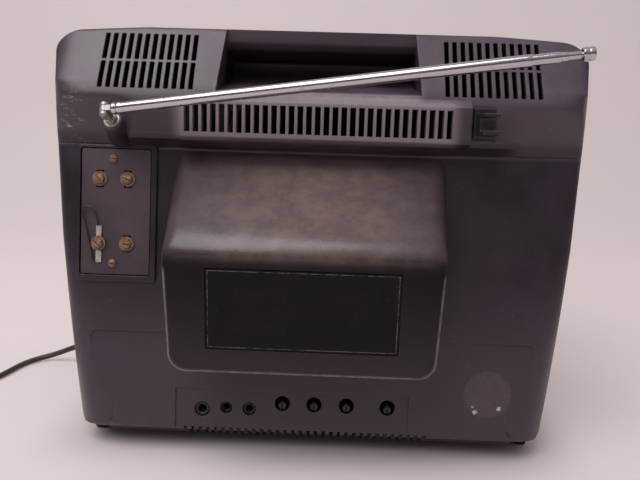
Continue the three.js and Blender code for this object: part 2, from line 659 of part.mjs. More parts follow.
// ---------------------------------------------------------------- front

const PANEL = { x: 140, width: 84, bottom: 117, top: 258 };
const SPEAKER = { x: 140, z: 72, size: 72 };
const KNOBS = [
  { name: 'vhf_channel_knob', x: 140, z: 222, radius: 17, from: -221.5, to: -232 },
  { name: 'uhf_channel_knob', x: 140, z: 172, radius: 20, from: -219, to: -231 },
  { name: 'volume_knob', x: 113, z: 134, radius: 8, from: -219, to: -230 },
  { name: 'brightness_knob', x: 140, z: 134, radius: 8, from: -219, to: -230 },
  { name: 'contrast_knob', x: 167, z: 134, radius: 8, from: -219, to: -230 },
];
const STEM = 3;
const PLATE = 2.3;                // how far the control panel and the speaker grille stand off the face

function frontBezel() {
  const { backY, faceY, half, top, bottom, crown } = BEZEL;
  const shape = (halfAt, inset, cornerTop = 22) => cabinetOutline({
    half: halfAt, tuck: 1.5, top, bottom, crown, cornerTop, cornerBottom: 18, inset,
  });
  const outside = loft([
    section(shape(half, 3), faceY), section(shape(half, 0.8), faceY + 2), section(shape(half, 0), faceY + 5),
    section(shape(half - 2.6, 0), backY),
  ]);
  const wall = WALL + 0.4;
  const inside = loft([section(shape(half, wall), faceY + 3.5), section(shape(half - 2.6, wall), backY + 5)]);
  const { x, z, width, height } = SCREEN;
  const ring = (y, grow) => section(roundedRect(x, z, width + grow, height + grow, 20 + grow / 2), y);
  const surround = loft([ring(faceY + 0.5, 22), ring(-205, 7)]);
  const opening = loft([ring(faceY - 4, 17), ring(-204, 0)]);
  const faceDepth = [faceY - 3, faceY + 5];
  const panelHole = box([PANEL.x - 38, PANEL.x + 38], faceDepth, [PANEL.bottom + 4, PANEL.top - 4]);
  const reach = SPEAKER.size / 2 - 3;
  const { x: speakerX, z: speakerZ } = SPEAKER;
  const speakerHole = box(
    [speakerX - reach, speakerX + reach], faceDepth, [speakerZ - reach, speakerZ + reach]);
  return subtract(union(subtract(outside, inside), surround), opening, panelHole, speakerHole);
}

function frontPieces() {
  add('front_bezel', frontBezel(), LOOK.cabinet);
  const { faceY } = BEZEL;
  const middle = (PANEL.top + PANEL.bottom) / 2;
  const panelOutline = roundedRect(PANEL.x, middle, PANEL.width, PANEL.top - PANEL.bottom, 4, 3);
  const plate = frontViewPrism(panelOutline, faceY - PLATE, faceY - GAP);
  const stemHoles = KNOBS.map(({ x, z }) => rodAlongY(x, z, STEM + 2.5, faceY - 6, faceY + 4, 14));
  add('control_panel', subtract(plate, ...stemHoles), LOOK.satin);
  for (const { name, x, z, radius, from, to } of KNOBS) {
    const skirt = radius + 1;
    const profile = [
      [0, -206], [STEM, -206], [STEM, from], [skirt, from], [skirt, from - 1.6], [radius, from - 2.4],
      [radius - 0.8, to + 0.8], [radius - 1.6, to], [0, to],
    ];
    add(name, turnedAlongY(profile, x, z, 16), LOOK.trim);
  }
  const { x: fineX, z: fineZ } = KNOBS[0];
  const fineTuning = [[4.4, -217.8], [4.4, -221], [22, -221], [23, -220], [23, -217.8], [4.4, -217.8]];
  add('fine_tuning_ring', turnedAlongY(fineTuning, fineX, fineZ, 18), LOOK.satin);
  const { x, z, size } = SPEAKER;
  const slots = Array.from({ length: 11 }, (_, i) => {
    const low = z - size / 2 + 6 + i * 5.6;
    return box([x - size / 2 + 6, x + size / 2 - 6], [faceY - 4, faceY + 2], [low, low + 3]);
  });
  const grille = frontViewPrism(roundedRect(x, z, size, size + 4, 4, 3), faceY - PLATE, faceY - GAP);
  add('speaker_grille', subtract(grille, ...slots), LOOK.trim);
  const speaker = subtract(
    solidFrom(turnedAlongY([
      [0, -168], [17, -168], [17, -180], [24, -181], [33, -203], [34.5, -203], [34.5, -205.5], [0, -205.5],
    ], x, z, 20)),
    solidFrom(turnedAlongY([[0, -184], [8, -184], [30, -202.5], [30, -208], [0, -208]], x, z, 20)));
  add('loudspeaker', speaker, LOOK.steel);
}

// ---------------------------------------------------------------- picture tube and its fittings

// Half width, half height and squareness of the tube at each depth, from the face to the neck.
const TUBE = [
  [-205.6, 60, 48, 2.4], [-204.6, 100, 78, 3.2], [-202.4, 131, 103, 8], [-199, 134, 106, 9],
  [-174, 135, 107, 9], [-150, 113, 90, 5.5], [-126, 84, 69, 3.6], [-106, 56, 49, 2.6], [-92, 34, 32, 2.2],
  [-82, 19, 19, 2], [-74, 10.2, 10.2, 2], [-66, 10, 10, 2], [40, 10, 10, 2],
];

function tubeRing([y, halfWidth, halfHeight, power], inset = 0) {
  const points = 24;
  return Array.from({ length: points }, (_, i) => {
    const angle = 2 * Math.PI * i / points;
    const curve = (value) => Math.sign(value) * Math.abs(value) ** (2 / power);
    const x = SCREEN.x + (halfWidth - inset) * curve(Math.cos(angle));
    return [x, y, SCREEN.z + (halfHeight - inset) * curve(Math.sin(angle))];
  });
}

function pictureTube() {
  const glass = loft(TUBE.map((row) => tubeRing(row)));
  const hollow = TUBE.slice(3).map(([y, ...rest]) => {
    const behindFace = y < -180 ? y + 6 : y;
    return tubeRing([behindFace, ...rest], y < -90 ? 5 : 1.6);
  });
  hollow.push(tubeRing([45, 10, 10, 2], 1.6));
  return subtract(glass, loft(hollow));
}

function rimBand() {
  const outer = loft([-194, -178].map((y) => tubeRing([y, 137.4, 109.4, 9])));
  const inner = loft([-198, -174].map((y) => tubeRing([y, 135.7, 107.7, 9])));
  const ears = [];
  for (const sx of [1, -1]) {
    for (const sz of [1, -1]) {
      const x = SCREEN.x + sx * 131;
      const z = SCREEN.z + sz * 106;
      const lug = box([x - 7, x + 7], [-194, -192], [z - 7, z + 7]);
      ears.push(subtract(lug, rodAlongY(x + sx * 2, z + sz * 2, 2.2, -200, -190, 8)));
    }
  }
  return subtract(union(outer, ...ears), inner);
}

function tubePieces() {
  const { x, z } = SCREEN;
  add('picture_tube', pictureTube(), LOOK.glass);
  add('tube_rim_band', rimBand(), LOOK.steel);
  const yoke = turnedAlongY([
    [41.5, -95], [50, -95], [50, -91], [37, -84], [35, -56], [20, -54], [20, -44], [11.2, -44], [11.2, -72],
    [21, -79], [36.5, -92], [41.5, -95],
  ], x, z, 24);
  add('deflection_yoke', yoke, LOOK.copper);
  const ring = [[10.8, -42], [17, -42], [17, -36], [10.8, -36], [10.8, -42]];
  add('centering_magnets', turnedAlongY(ring, x, z, 20), LOOK.steel);
  const base = turnedAlongY([[0, 40.3], [10.4, 40.3], [10.4, 45], [4, 45], [4, 46.4], [0, 46.4]], x, z, 16);
  add('tube_base', base, LOOK.trim);
  const neckBoard = union(box([x - 25, x + 25], [46.8, 48.4], [z - 40, z + 10]),
    rodAlongY(x, z, 9.5, 48.3, 53.4, 16), box([x + 8, x + 20], [48.3, 52], [z - 34, z - 20]));
  add('neck_socket_board', neckBoard, LOOK.board);
}

// ---------------------------------------------------------------- electronics

function electronics() {
  const boardTop = 19.6;
  const board = subtract(box([-152, 155], [-148, -26], [18, boardTop]), ...COVER_SCREWS.map(
    (x) => box([x - 2.4, x + 2.4], [-42.4, -37.6], [17, 21])));
  const strips = [-150, -130, -20, 30].map((x) =>
    box([x, x + 9], [-120, -96], [boardTop - 0.1, boardTop + 16]));
  add('main_circuit_board', union(board, ...strips), LOOK.board);
  add('vhf_tuner', openCan([112, 164], [-205, -112], [196, 248]), LOOK.steel);
  add('uhf_tuner', openCan([114, 166], [-205, -140], [148, 190]), LOOK.steel);
  const core = subtract(box([-146, -90], [-84, -40], [20, 68]), box([-137, -131], [-90, -30], [29, 59]),
    box([-105, -99], [-90, -30], [29, 59]));
  const winding = (span) => box([-136, -100], span, [30, 58]);
  const windings = union(winding([-92, -83.9]), winding([-40.1, -32]));
  add('power_transformer', union(core, windings), LOOK.steel);
  const flyback = union(
    rodFromTo([128, -86, 20], [128, -86, 84], 21, 20),
    box([122, 134], [-66, -54], [20, 84]),
    box([122, 134], [-118, -106.9], [20, 84]),
    box([122, 134], [-118, -54], [83.9, 94]));
  add('flyback_transformer', flyback, LOOK.trim);
  const anode = new THREE.Vector3(SCREEN.x + 103, -132, SCREEN.z + 32);
  const outward = new THREE.Vector3(0.75, 0.62, 0.22).normalize();
  const cap = turned([[0, 0], [13, 0], [13, 2], [7, 5], [4.5, 9], [0, 9]], 16);
  cap.applyQuaternion(new THREE.Quaternion().setFromUnitVectors(AXIS.y, outward));
  cap.translate(...anode.toArray());
  add('anode_cap', cap, LOOK.rubber);
  const start = anode.clone().addScaledVector(outward, 9.4);
  const lead = [
    start.toArray(), start.clone().addScaledVector(outward, 12).toArray(), [92, -108, 178], [108, -96, 150],
    [120, -88, 118], [124, -86, 102], [126, -86, 94.6],
  ];
  add('anode_lead', tube(lead, 2, 16, 6), LOOK.rubber);
}

// A screening can, open towards the front.
function openCan([x0, x1], [y0, y1], [z0, z1]) {
  const wall = 1;
  const inside = box([x0 + wall, x1 - wall], [y0 - wall, y1 - wall], [z0 + wall, z1 - wall]);
  return subtract(box([x0, x1], [y0, y1], [z0, z1]), inside);
}

function rodFromTo(from, to, radius, segments) {
  const start = new THREE.Vector3(...from);
  const reach = new THREE.Vector3(...to).sub(start);
  const geometry = turned([[0, 0], [radius, 0], [radius, reach.length()], [0, reach.length()]], segments);
  geometry.applyQuaternion(new THREE.Quaternion().setFromUnitVectors(AXIS.y, reach.normalize()));
  geometry.translate(...from);
  return solidFrom(geometry);
}

// ---------------------------------------------------------------- mains lead

const CORD_RADIUS = 2.5;
const RELIEF_TIP_X = 212;
const COIL = { x: 346, y: -96, inner: 19.6, outer: 35.6, height: 15.9 };
const CORD_ROUTE = [
  [RELIEF_TIP_X + 0.4, -140.5, 21.9], [222, -141.2, 20.3], [234, -143.4, 15.8], [246, -146.4, 10.4],
  [257, -147.6, 6], [267, -144.4, 3.6], [274.4, -136, 2.7], [278, -124, 2.7], [280, -111, 2.7],
  [282.6, -98.6, 2.7], [287.6, -87, 2.7], [295.6, -78.2, 2.7], [305.4, -72.2, 2.7],
];

function mainsLead() {
  const relief = turned([
    [0, 183.5], [4.9, 183.5], [4.9, 188], [6.4, 188], [6.4, 190.4], [4.6, 191.4], [3.2, RELIEF_TIP_X],
    [0, RELIEF_TIP_X],
  ], 12);
  relief.rotateZ(-Math.PI / 2);
  relief.translate(0, CORD_EXIT.y, CORD_EXIT.z);
  add('cord_strain_relief', relief, LOOK.rubber);
  add('mains_cord', tube(CORD_ROUTE, CORD_RADIUS, 42, 8), LOOK.cord);
  const { x, y, inner, outer, height } = COIL;
  const ring = turned([[inner, 0.1], [outer, 0.1], [outer, height], [inner, height], [inner, 0.1]], 24);
  ring.rotateX(Math.PI / 2);
  ring.translate(x, y, 0);
  add('mains_cord_coil', ring, LOOK.cord);
  const plugX = 392;
  const body = box([plugX - 9, plugX + 9], [-118, -86], [0.3, 16.3]);
  const neck = box([plugX - 4, plugX + 4], [-86.1, -74], [4.3, 12.3]);
  const bladeSpacing = 12.7;
  const blades = [-bladeSpacing / 2, bladeSpacing / 2].map((shift) =>
    box([plugX + shift - 3.2, plugX + shift + 3.2], [-134, -117.9], [7.5, 9.1]));
  add('mains_plug', union(body, neck, ...blades), LOOK.rubber);
}

backPieces();
antennaParts();
terminalBoard();
feet();
frontPieces();
tubePieces();
electronics();
mainsLead();

export default television;
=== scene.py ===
"""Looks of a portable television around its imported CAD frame.

Shapes are written in millimetres with Y measured from the rear datum, as the CAD does, and become metres
in the row frame when a mesh is made.
"""
import math

import bmesh
import bpy
from mathutils import Matrix, Vector


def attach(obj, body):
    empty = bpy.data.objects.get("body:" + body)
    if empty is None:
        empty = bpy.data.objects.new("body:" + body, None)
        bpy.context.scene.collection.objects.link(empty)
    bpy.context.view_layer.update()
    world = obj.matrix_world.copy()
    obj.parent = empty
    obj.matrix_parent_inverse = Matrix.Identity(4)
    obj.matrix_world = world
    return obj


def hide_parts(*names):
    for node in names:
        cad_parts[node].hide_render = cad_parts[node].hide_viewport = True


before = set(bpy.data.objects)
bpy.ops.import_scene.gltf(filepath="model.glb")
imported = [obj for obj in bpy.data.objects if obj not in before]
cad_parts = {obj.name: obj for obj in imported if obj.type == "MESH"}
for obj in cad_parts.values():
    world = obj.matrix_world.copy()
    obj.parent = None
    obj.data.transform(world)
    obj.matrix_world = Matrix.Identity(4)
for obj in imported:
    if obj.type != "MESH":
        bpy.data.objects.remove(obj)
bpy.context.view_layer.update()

MM = 0.001
DATUM = 83.93
WALL = 2.8
FACE_Y, FACE_Z, FACE_SLOPE = 8, 80, 0.1127
FACE_TILT = math.atan(FACE_SLOPE)
scene = bpy.context.scene


def lower_face(z):
    """The y of the leaning lower face of the back at a height."""
    return FACE_Y - FACE_SLOPE * (z - FACE_Z)


def metres(point):
    x, y, z = point
    return Vector((x * MM, (y + DATUM) * MM, z * MM))


# ---------------------------------------------------------------- camera

def make_camera():
    data = bpy.data.cameras.new("camera")
    data.sensor_width = 36
    data.lens = 33.064
    data.clip_start = 0.01
    camera = bpy.data.objects.new("camera", data)
    camera.location = (-0.01144, 0.47844, 0.21669)
    camera.rotation_euler = [math.radians(a) for a in (80.785, -1.768, -178.601)]
    scene.collection.objects.link(camera)
    scene.camera = camera


make_camera()

# ---------------------------------------------------------------- mesh helpers


def link(obj):
    scene.collection.objects.link(obj)
    return obj


def make_mesh(name, points, faces, transform=metres):
    mesh = bpy.data.meshes.new(name)
    mesh.from_pydata([transform(p) for p in points], [], faces)
    bm = bmesh.new()
    bm.from_mesh(mesh)
    bmesh.ops.remove_doubles(bm, verts=bm.verts, dist=1e-6)
    bmesh.ops.recalc_face_normals(bm, faces=bm.faces)
    bm.to_mesh(mesh)
    bm.free()
    return link(bpy.data.objects.new(name, mesh))


def loft(name, sections, transform=metres):
    """A closed skin through rings of equal length."""
    count = len(sections[0])
    points = [p for ring in sections for p in ring]
    faces = []
    for s in range(len(sections) - 1):
        for i in range(count):
            j = (i + 1) % count
            a, b = s * count, (s + 1) * count
            faces.append((a + i, a + j, b + j, b + i))
    faces.append(tuple(range(count)))
    last = (len(sections) - 1) * count
    faces.append(tuple(last + i for i in range(count)))
    return make_mesh(name, points, faces, transform)


def prism(name, outline, axis, low, high, transform=metres):
    """A 2-D outline drawn out along an axis. The outline is (y, z) for x, (x, z) for y and (x, y) for z."""
    order = {"x": (2, 0, 1), "y": (0, 2, 1), "z": (0, 1, 2)}[axis]
    rings = [[tuple((u, v, w)[i] for i in order) for u, v in outline] for w in (low, high)]
    return loft(name, rings, transform)


def block(name, x, y, z, transform=metres):
    return prism(name, [(x[0], y[0]), (x[1], y[0]), (x[1], y[1]), (x[0], y[1])], "z", *z, transform)


def turned(name, profile, transform=metres, segments=48, phase=0.0):
    """A lathe about the second axis. The profile is (radius, length) pairs from axis to axis, or closed."""
    closed = profile[0] == profile[-1]
    rows = profile[:-1] if closed else profile
    points, faces = [], []
    for r, h in rows:
        for i in range(segments):
            a = 2 * math.pi * (i + phase) / segments
            points.append((r * math.cos(a), h, r * math.sin(a)))
    for s in range(len(rows) if closed else len(rows) - 1):
        t = (s + 1) % len(rows)
        for i in range(segments):
            j = (i + 1) % segments
            faces.append((s * segments + i, s * segments + j, t * segments + j, t * segments + i))
    obj = make_mesh(name, points, faces, transform)
    drop_flat_faces(obj)
    return obj


def drop_flat_faces(obj):
    """Removes the collapsed quads that a lathe leaves on its axis."""
    bm = bmesh.new()
    bm.from_mesh(obj.data)
    bmesh.ops.dissolve_degenerate(bm, dist=1e-7, edges=bm.edges)
    bmesh.ops.remove_doubles(bm, verts=bm.verts, dist=1e-7)
    bmesh.ops.recalc_face_normals(bm, faces=bm.faces)
    bm.to_mesh(obj.data)
    bm.free()


def bar(radius, low, high, place, segments=32):
    """A plain round bar or the cutter of a plain round hole."""
    return turned("bar", [(0, low), (radius, low), (radius, high), (0, high)], place, segments)


def along_y(x, z):
    """Places a lathe whose axis is parallel to Y."""
    return lambda p: metres((p[0] + x, p[1], p[2] + z))


def along_z(x, y):
    """Places a lathe whose axis is parallel to Z."""
    return lambda p: metres((p[0] + x, p[2] + y, p[1]))


def along_x(origin):
    """Places a lathe whose axis is X, with its lengths measured along X."""
    def place(p):
        return metres((p[1] + origin[0], p[0] + origin[1], p[2] + origin[2]))
    return place


def arc(cx, cy, rx, ry, start, end, steps):
    out = []
    for i in range(steps + 1):
        a = math.radians(start + (end - start) * i / steps)
        out.append((cx + rx * math.cos(a), cy + ry * math.sin(a)))
    return out


def rounded_rect(cx, cz, width, height, radius, steps=6):
    out = []
    for sx, sz, start in ((1, 1, 0), (-1, 1, 90), (-1, -1, 180), (1, -1, 270)):
        x, z = cx + sx * (width / 2 - radius), cz + sz * (height / 2 - radius)
        out += arc(x, z, radius, radius, start, start + 90, steps)
    return out


def fillet(points, radii, steps=5):
    """A closed outline with corner i rounded by radii[i], where that is given."""
    out = []
    count = len(points)
    for i, point in enumerate(points):
        radius = radii.get(i, 0)
        if not radius:
            out.append(point)
            continue
        p = Vector(point)
        before = (Vector(points[i - 1]) - p)
        after = (Vector(points[(i + 1) % count]) - p)
        half = before.angle(after) / 2
        reach = min(radius / math.tan(half), before.length * 0.48, after.length * 0.48)
        a, b = p + before.normalized() * reach, p + after.normalized() * reach
        for s in range(steps + 1):
            t = s / steps
            q = a * (1 - t) ** 2 + p * 2 * t * (1 - t) + b * t ** 2
            out.append((q.x, q.y))
    return out


def apply_modifiers(obj):
    graph = bpy.context.evaluated_depsgraph_get()
    mesh = bpy.data.meshes.new_from_object(obj.evaluated_get(graph))
    obj.modifiers.clear()
    old, obj.data = obj.data, mesh
    bpy.data.meshes.remove(old)
    return obj


def boolean(base, operation, *tools):
    for tool in tools:
        mod = base.modifiers.new(operation, "BOOLEAN")
        mod.operation = operation
        mod.solver = "MANIFOLD"
        mod.object = tool
        apply_modifiers(base)
        bpy.data.objects.remove(tool)
    return base


def cut(base, *tools):
    return boolean(base, "DIFFERENCE", *tools)


def add(base, *tools):
    return boolean(base, "UNION", *tools)


def keep_common(base, *tools):
    return boolean(base, "INTERSECT", *tools)


def joined(name, objects):
    """One mesh object of several, which don't overlap."""
    bm = bmesh.new()
    for obj in objects:
        bm.from_mesh(obj.data)
        bpy.data.objects.remove(obj)
    mesh = bpy.data.meshes.new(name)
    bm.to_mesh(mesh)
    bm.free()
    return link(bpy.data.objects.new(name, mesh))


def bevelled(obj, width, segments=3, angle=35):
    mod = obj.modifiers.new("bevel", "BEVEL")
    mod.width = width * MM
    mod.segments = segments
    mod.limit_method = "ANGLE"
    mod.angle_limit = math.radians(angle)
    return apply_modifiers(obj)


def shaded(obj, angle=32):
    """Smooth shading that breaks at sharp edges and keeps large faces flat."""
    for polygon in obj.data.polygons:
        polygon.use_smooth = True
    obj.data.set_sharp_from_angle(angle=math.radians(angle))
    mod = obj.modifiers.new("normals", "WEIGHTED_NORMAL")
    mod.keep_sharp = True
    mod.weight = 80
    return obj


# ---------------------------------------------------------------- materials

def srgb(r, g, b):
    """A linear colour from screen values of 0 to 255."""
    def linear(v):
        v /= 255
        return v / 12.92 if v <= 0.04045 else ((v + 0.055) / 1.055) ** 2.4
    return (linear(r), linear(g), linear(b), 1)


class Nodes:
    """A short way to write a node material."""

    def __init__(self, name):
        self.material = bpy.data.materials.new(name)
        self.material.use_nodes = True
        self.tree = self.material.node_tree
        self.shader = self.tree.nodes["Principled BSDF"]
        self.object = self.node("TexCoord").outputs["Object"]

    def node(self, kind, **values):
        node = self.tree.nodes.new("ShaderNode" + kind)
        for key, value in values.items():
            setattr(node, key, value)
        return node

    def plug(self, value, socket):
        if isinstance(value, bpy.types.NodeSocket):
            self.tree.links.new(value, socket)
        else:
            socket.default_value = value

    def set(self, **inputs):
        for key, value in inputs.items():
            self.plug(value, self.shader.inputs[key.replace("_", " ")])

    def noise(self, size, detail=4, rough=0.55, stretch=(1, 1, 1), offset=(0, 0, 0), distortion=0.0):
        """Noise whose features are about size metres across."""
        mapping = self.node("Mapping")
        self.plug(self.object, mapping.inputs["Vector"])
        mapping.inputs["Scale"].default_value = stretch
        mapping.inputs["Location"].default_value = offset
        node = self.node("TexNoise")
        self.plug(mapping.outputs[0], node.inputs["Vector"])
        node.inputs["Scale"].default_value = 1 / size
        node.inputs["Detail"].default_value = detail
        node.inputs["Roughness"].default_value = rough
        node.inputs["Distortion"].default_value = distortion
        return node.outputs[0]

    def grain(self, size, smooth=0.6):
        node = self.node("TexVoronoi", feature="SMOOTH_F1")
        self.plug(self.object, node.inputs["Vector"])
        node.inputs["Scale"].default_value = 1 / size
        node.inputs["Smoothness"].default_value = smooth
        return node.outputs[0]

    def math(self, operation, a, b=0.0, c=0.0):
        node = self.node("Math", operation=operation)
        for value, socket in zip((a, b, c), node.inputs):
            self.plug(value, socket)
        return node.outputs[0]

    def times(self, a, b):
        return self.math("MULTIPLY", a, b)

    def plus(self, a, b):
        return self.math("ADD", a, b)

    def minus(self, a, b):
        return self.math("SUBTRACT", a, b)

    def away(self, value, middle):
        """How far a value is from a middle, on either side."""
        return self.math("ABSOLUTE", self.minus(value, middle))

    def ramp(self, value, low, high, to_low=0.0, to_high=1.0):
        node = self.node("MapRange", interpolation_type="SMOOTHSTEP")
        for v, key in zip((value, low, high, to_low, to_high),
                ("Value", "From Min", "From Max", "To Min", "To Max")):
            self.plug(v, node.inputs[key])
        return node.outputs[0]

    def mix(self, factor, a, b):
        node = self.node("Mix", data_type="RGBA")
        self.plug(factor, node.inputs["Factor"])
        self.plug(a, node.inputs["A"])
        self.plug(b, node.inputs["B"])
        return node.outputs["Result"]

    def bump(self, height, strength, distance, normal=None):
        node = self.node("Bump")
        self.plug(height, node.inputs["Height"])
        node.inputs["Strength"].default_value = strength
        node.inputs["Distance"].default_value = distance
        if normal is not None:
            self.plug(normal, node.inputs["Normal"])
        return node.outputs[0]

    def rounded(self, radius):
        """The normal with edges rounded, and how close to an edge a point is."""
        node = self.node("Bevel", samples=4)
        node.inputs["Radius"].default_value = radius
        geometry = self.node("NewGeometry")
        dot = self.node("VectorMath", operation="DOT_PRODUCT")
        self.plug(node.outputs[0], dot.inputs[0])
        self.plug(geometry.outputs["Normal"], dot.inputs[1])
        return node.outputs[0], self.math("SUBTRACT", 1.0, dot.outputs["Value"])

    def upward(self):
        geometry = self.node("NewGeometry")
        split = self.node("SeparateXYZ")
        self.plug(geometry.outputs["True Normal"], split.inputs[0])
        return split.outputs["Z"]

    def axes(self):
        split = self.node("SeparateXYZ")
        self.plug(self.object, split.inputs[0])
        return split.outputs


def plastic(name, colour, roughness=0.5, grain=0.0007, bump=0.25, dust=0.6, wear=0.5, edge=0.0008):
    """Moulded plastic with a fine grain, dust on what faces up, and edges rubbed lighter."""
    n = Nodes(name)
    cloud = n.noise(0.06, 5, 0.6)
    fine = n.noise(0.0022, 4, 0.7)
    colour = srgb(*colour)
    lighter = tuple(min(1, c * 1.5) for c in colour[:3]) + (1,)
    darker = tuple(c * 0.72 for c in colour[:3]) + (1,)
    base = n.mix(n.ramp(cloud, 0.3, 0.7), darker, lighter)
    base = n.mix(n.ramp(fine, 0.35, 0.75, 0, 0.3), base, lighter)
    normal, near_edge = n.rounded(edge)
    settled = n.ramp(n.upward(), 0.0, 0.8)
    patches = n.ramp(n.noise(0.03, 8, 0.75), 0.3, 0.75, 0.35, 1)
    film = n.ramp(n.noise(0.13, 4, 0.6, offset=(3, 1, 2)), 0.35, 0.75, 0, 0.12)
    dusty = n.plus(n.times(n.times(settled, patches), dust), n.times(film, dust))
    base = n.mix(dusty, base, srgb(123, 105, 121))
    rubbed = n.times(n.ramp(near_edge, 0.02, 0.2), n.ramp(n.noise(0.004, 5, 0.7), 0.4, 0.7))
    base = n.mix(n.times(rubbed, wear), base, srgb(150, 140, 145))
    specks = n.ramp(n.noise(0.0016, 2, 0.5, offset=(5, 2, 8)), 0.71, 0.78)
    base = n.mix(n.times(specks, 0.35 * dust), base, srgb(170, 160, 160))
    relief = n.plus(n.grain(grain), n.times(fine, 0.6))
    n.set(Base_Color=base, Roughness=n.plus(roughness - 0.08, n.ramp(cloud, 0.3, 0.7, 0, 0.16)),
        Normal=n.bump(relief, bump, 0.0002, normal))
    return n


def metal(name, colour, roughness=0.25, spots=0.2, spot_colour=(70, 60, 55), scratches=0.15, edge=0.0002):
    """Plated or bare metal with fine scratches and tarnish spots."""
    n = Nodes(name)
    tarnish = n.ramp(n.noise(0.006, 6, 0.7), 0.52, 0.72)
    base = n.mix(n.times(tarnish, spots), srgb(*colour), srgb(*spot_colour))
    scratch = n.noise(0.0006, 3, 0.6, stretch=(0.08, 1, 1))
    normal, _ = n.rounded(edge)
    n.set(Base_Color=base, Metallic=n.ramp(tarnish, 0, 1, 1.0, 1.0 - spots),
        Roughness=n.plus(roughness, n.times(tarnish, 0.4 * spots + 0.1)),
        Normal=n.bump(scratch, scratches, 0.00005, normal))
    return n


def rusty(name, base_colour=(150, 138, 128), amount=0.55):
    """Steel with rust that is thick in patches."""
    n = Nodes(name)
    patch = n.ramp(n.noise(0.0032, 6, 0.7), 0.5 - amount * 0.3, 0.75 - amount * 0.3)
    rust = n.mix(n.noise(0.0012, 4, 0.7), srgb(78, 46, 33), srgb(166, 112, 80))
    base = n.mix(patch, srgb(*base_colour), rust)
    n.set(Base_Color=base, Metallic=n.ramp(patch, 0, 1, 0.9, 0.05),
        Roughness=n.ramp(patch, 0, 1, 0.42, 0.92), Normal=n.bump(n.noise(0.0007, 6, 0.8), 0.5, 0.0004))
    return n


def dress(obj, nodes):
    material = nodes.material if isinstance(nodes, Nodes) else nodes
    obj.data.materials.clear()
    obj.data.materials.append(material)
    return obj


def fit_out(obj, body, nodes, replaces=(), angle=32):
    """Shades, paints and mounts a finished piece."""
    shaded(obj, angle)
    dress(obj, nodes)
    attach(obj, body)
    if replaces:
        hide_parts(*replaces)
    return obj


COVER_COLOUR = (27, 16, 28)
CABINET = plastic("cabinet", COVER_COLOUR, 0.4, dust=0.62, wear=0.45)
BLACK = plastic("black_plastic", (30, 27, 31), 0.42, bump=0.12, dust=0.35, wear=0.35, edge=0.0004)
SHAFT = plastic("shaft_plastic", (22, 19, 22), 0.35, bump=0.08, dust=0.2, wear=0.2, edge=0.0003)
BOARD = plastic("terminal_board", (62, 51, 59), 0.45, bump=0.16, dust=0.45, wear=0.4, edge=0.0004)
CHROME = metal("antenna_chrome", (190, 185, 189), 0.17, 0.15, scratches=0.1)
KNUCKLE_METAL = metal("knuckle_metal", (176, 172, 164), 0.5, 0.75, (104, 98, 88), 0.5)
STEEL = metal("plain_steel", (180, 180, 182), 0.35)
SATIN = metal("satin_aluminium", (186, 187, 190), 0.32, 0.05, scratches=0.35)
RUST = rusty("rusty_screw")
LUG = rusty("tarnished_lug", (190, 186, 180), 0.2)
RUBBER = plastic("rubber", (30, 28, 30), 0.75, bump=0.3, dust=0.5, wear=0.1)
CORD = plastic("cord_vinyl", (46, 40, 42), 0.48, bump=0.05, dust=0.3, wear=0.0, edge=0.0003)

# ---------------------------------------------------------------- mains lead

CORD_DIAMETER = 5
CORD_ROUTE = [(212.4, -140.5, 21.9), (222, -141.2, 20.3), (234, -143.4, 15.8), (246, -146.4, 10.4),
    (257, -147.6, 6), (267, -144.4, 3.6), (274.4, -136, 2.7), (278, -124, 2.7), (280, -111, 2.7),
    (282.6, -98.6, 2.7), (287.6, -87, 2.7), (295.6, -78.2, 2.7), (305.4, -72.2, 2.7)]
COIL_CENTRE = Vector((346, -96, 0))
COIL_COLUMNS = [(32.9, (2.7, 8.1, 13.5)), (27.5, (13.5, 8.1, 2.7)), (22.1, (2.7, 8.1, 13.5))]
PLUG_X = 392
PLUG_NECK_Y = -74


def through(points, per_span):
    """Points on a smooth curve through the given ones."""
    p = [Vector(q) for q in points]
    p = [2 * p[0] - p[1]] + p + [2 * p[-1] - p[-2]]
    out = []
    for i in range(1, len(p) - 2):
        a, b, c, d = p[i - 1:i + 3]
        for s in range(per_span):
            t = s / per_span
            out.append(0.5 * (2 * b + (c - a) * t + (2 * a - 5 * b + 4 * c - d) * t ** 2
                + (3 * b - a - 3 * c + d) * t ** 3))
    out.append(p[-2])
    return out


def hermite(a, ta, b, tb, steps):
    """Points on a smooth curve from a to b that leaves along ta and arrives along tb."""
    out = []
    for s in range(1, steps + 1):
        t = s / steps
        out.append(a * (2 * t ** 3 - 3 * t ** 2 + 1) + ta * (t ** 3 - 2 * t ** 2 + t)
            + b * (3 * t ** 2 - 2 * t ** 3) + tb * (t ** 3 - t ** 2))
    return out


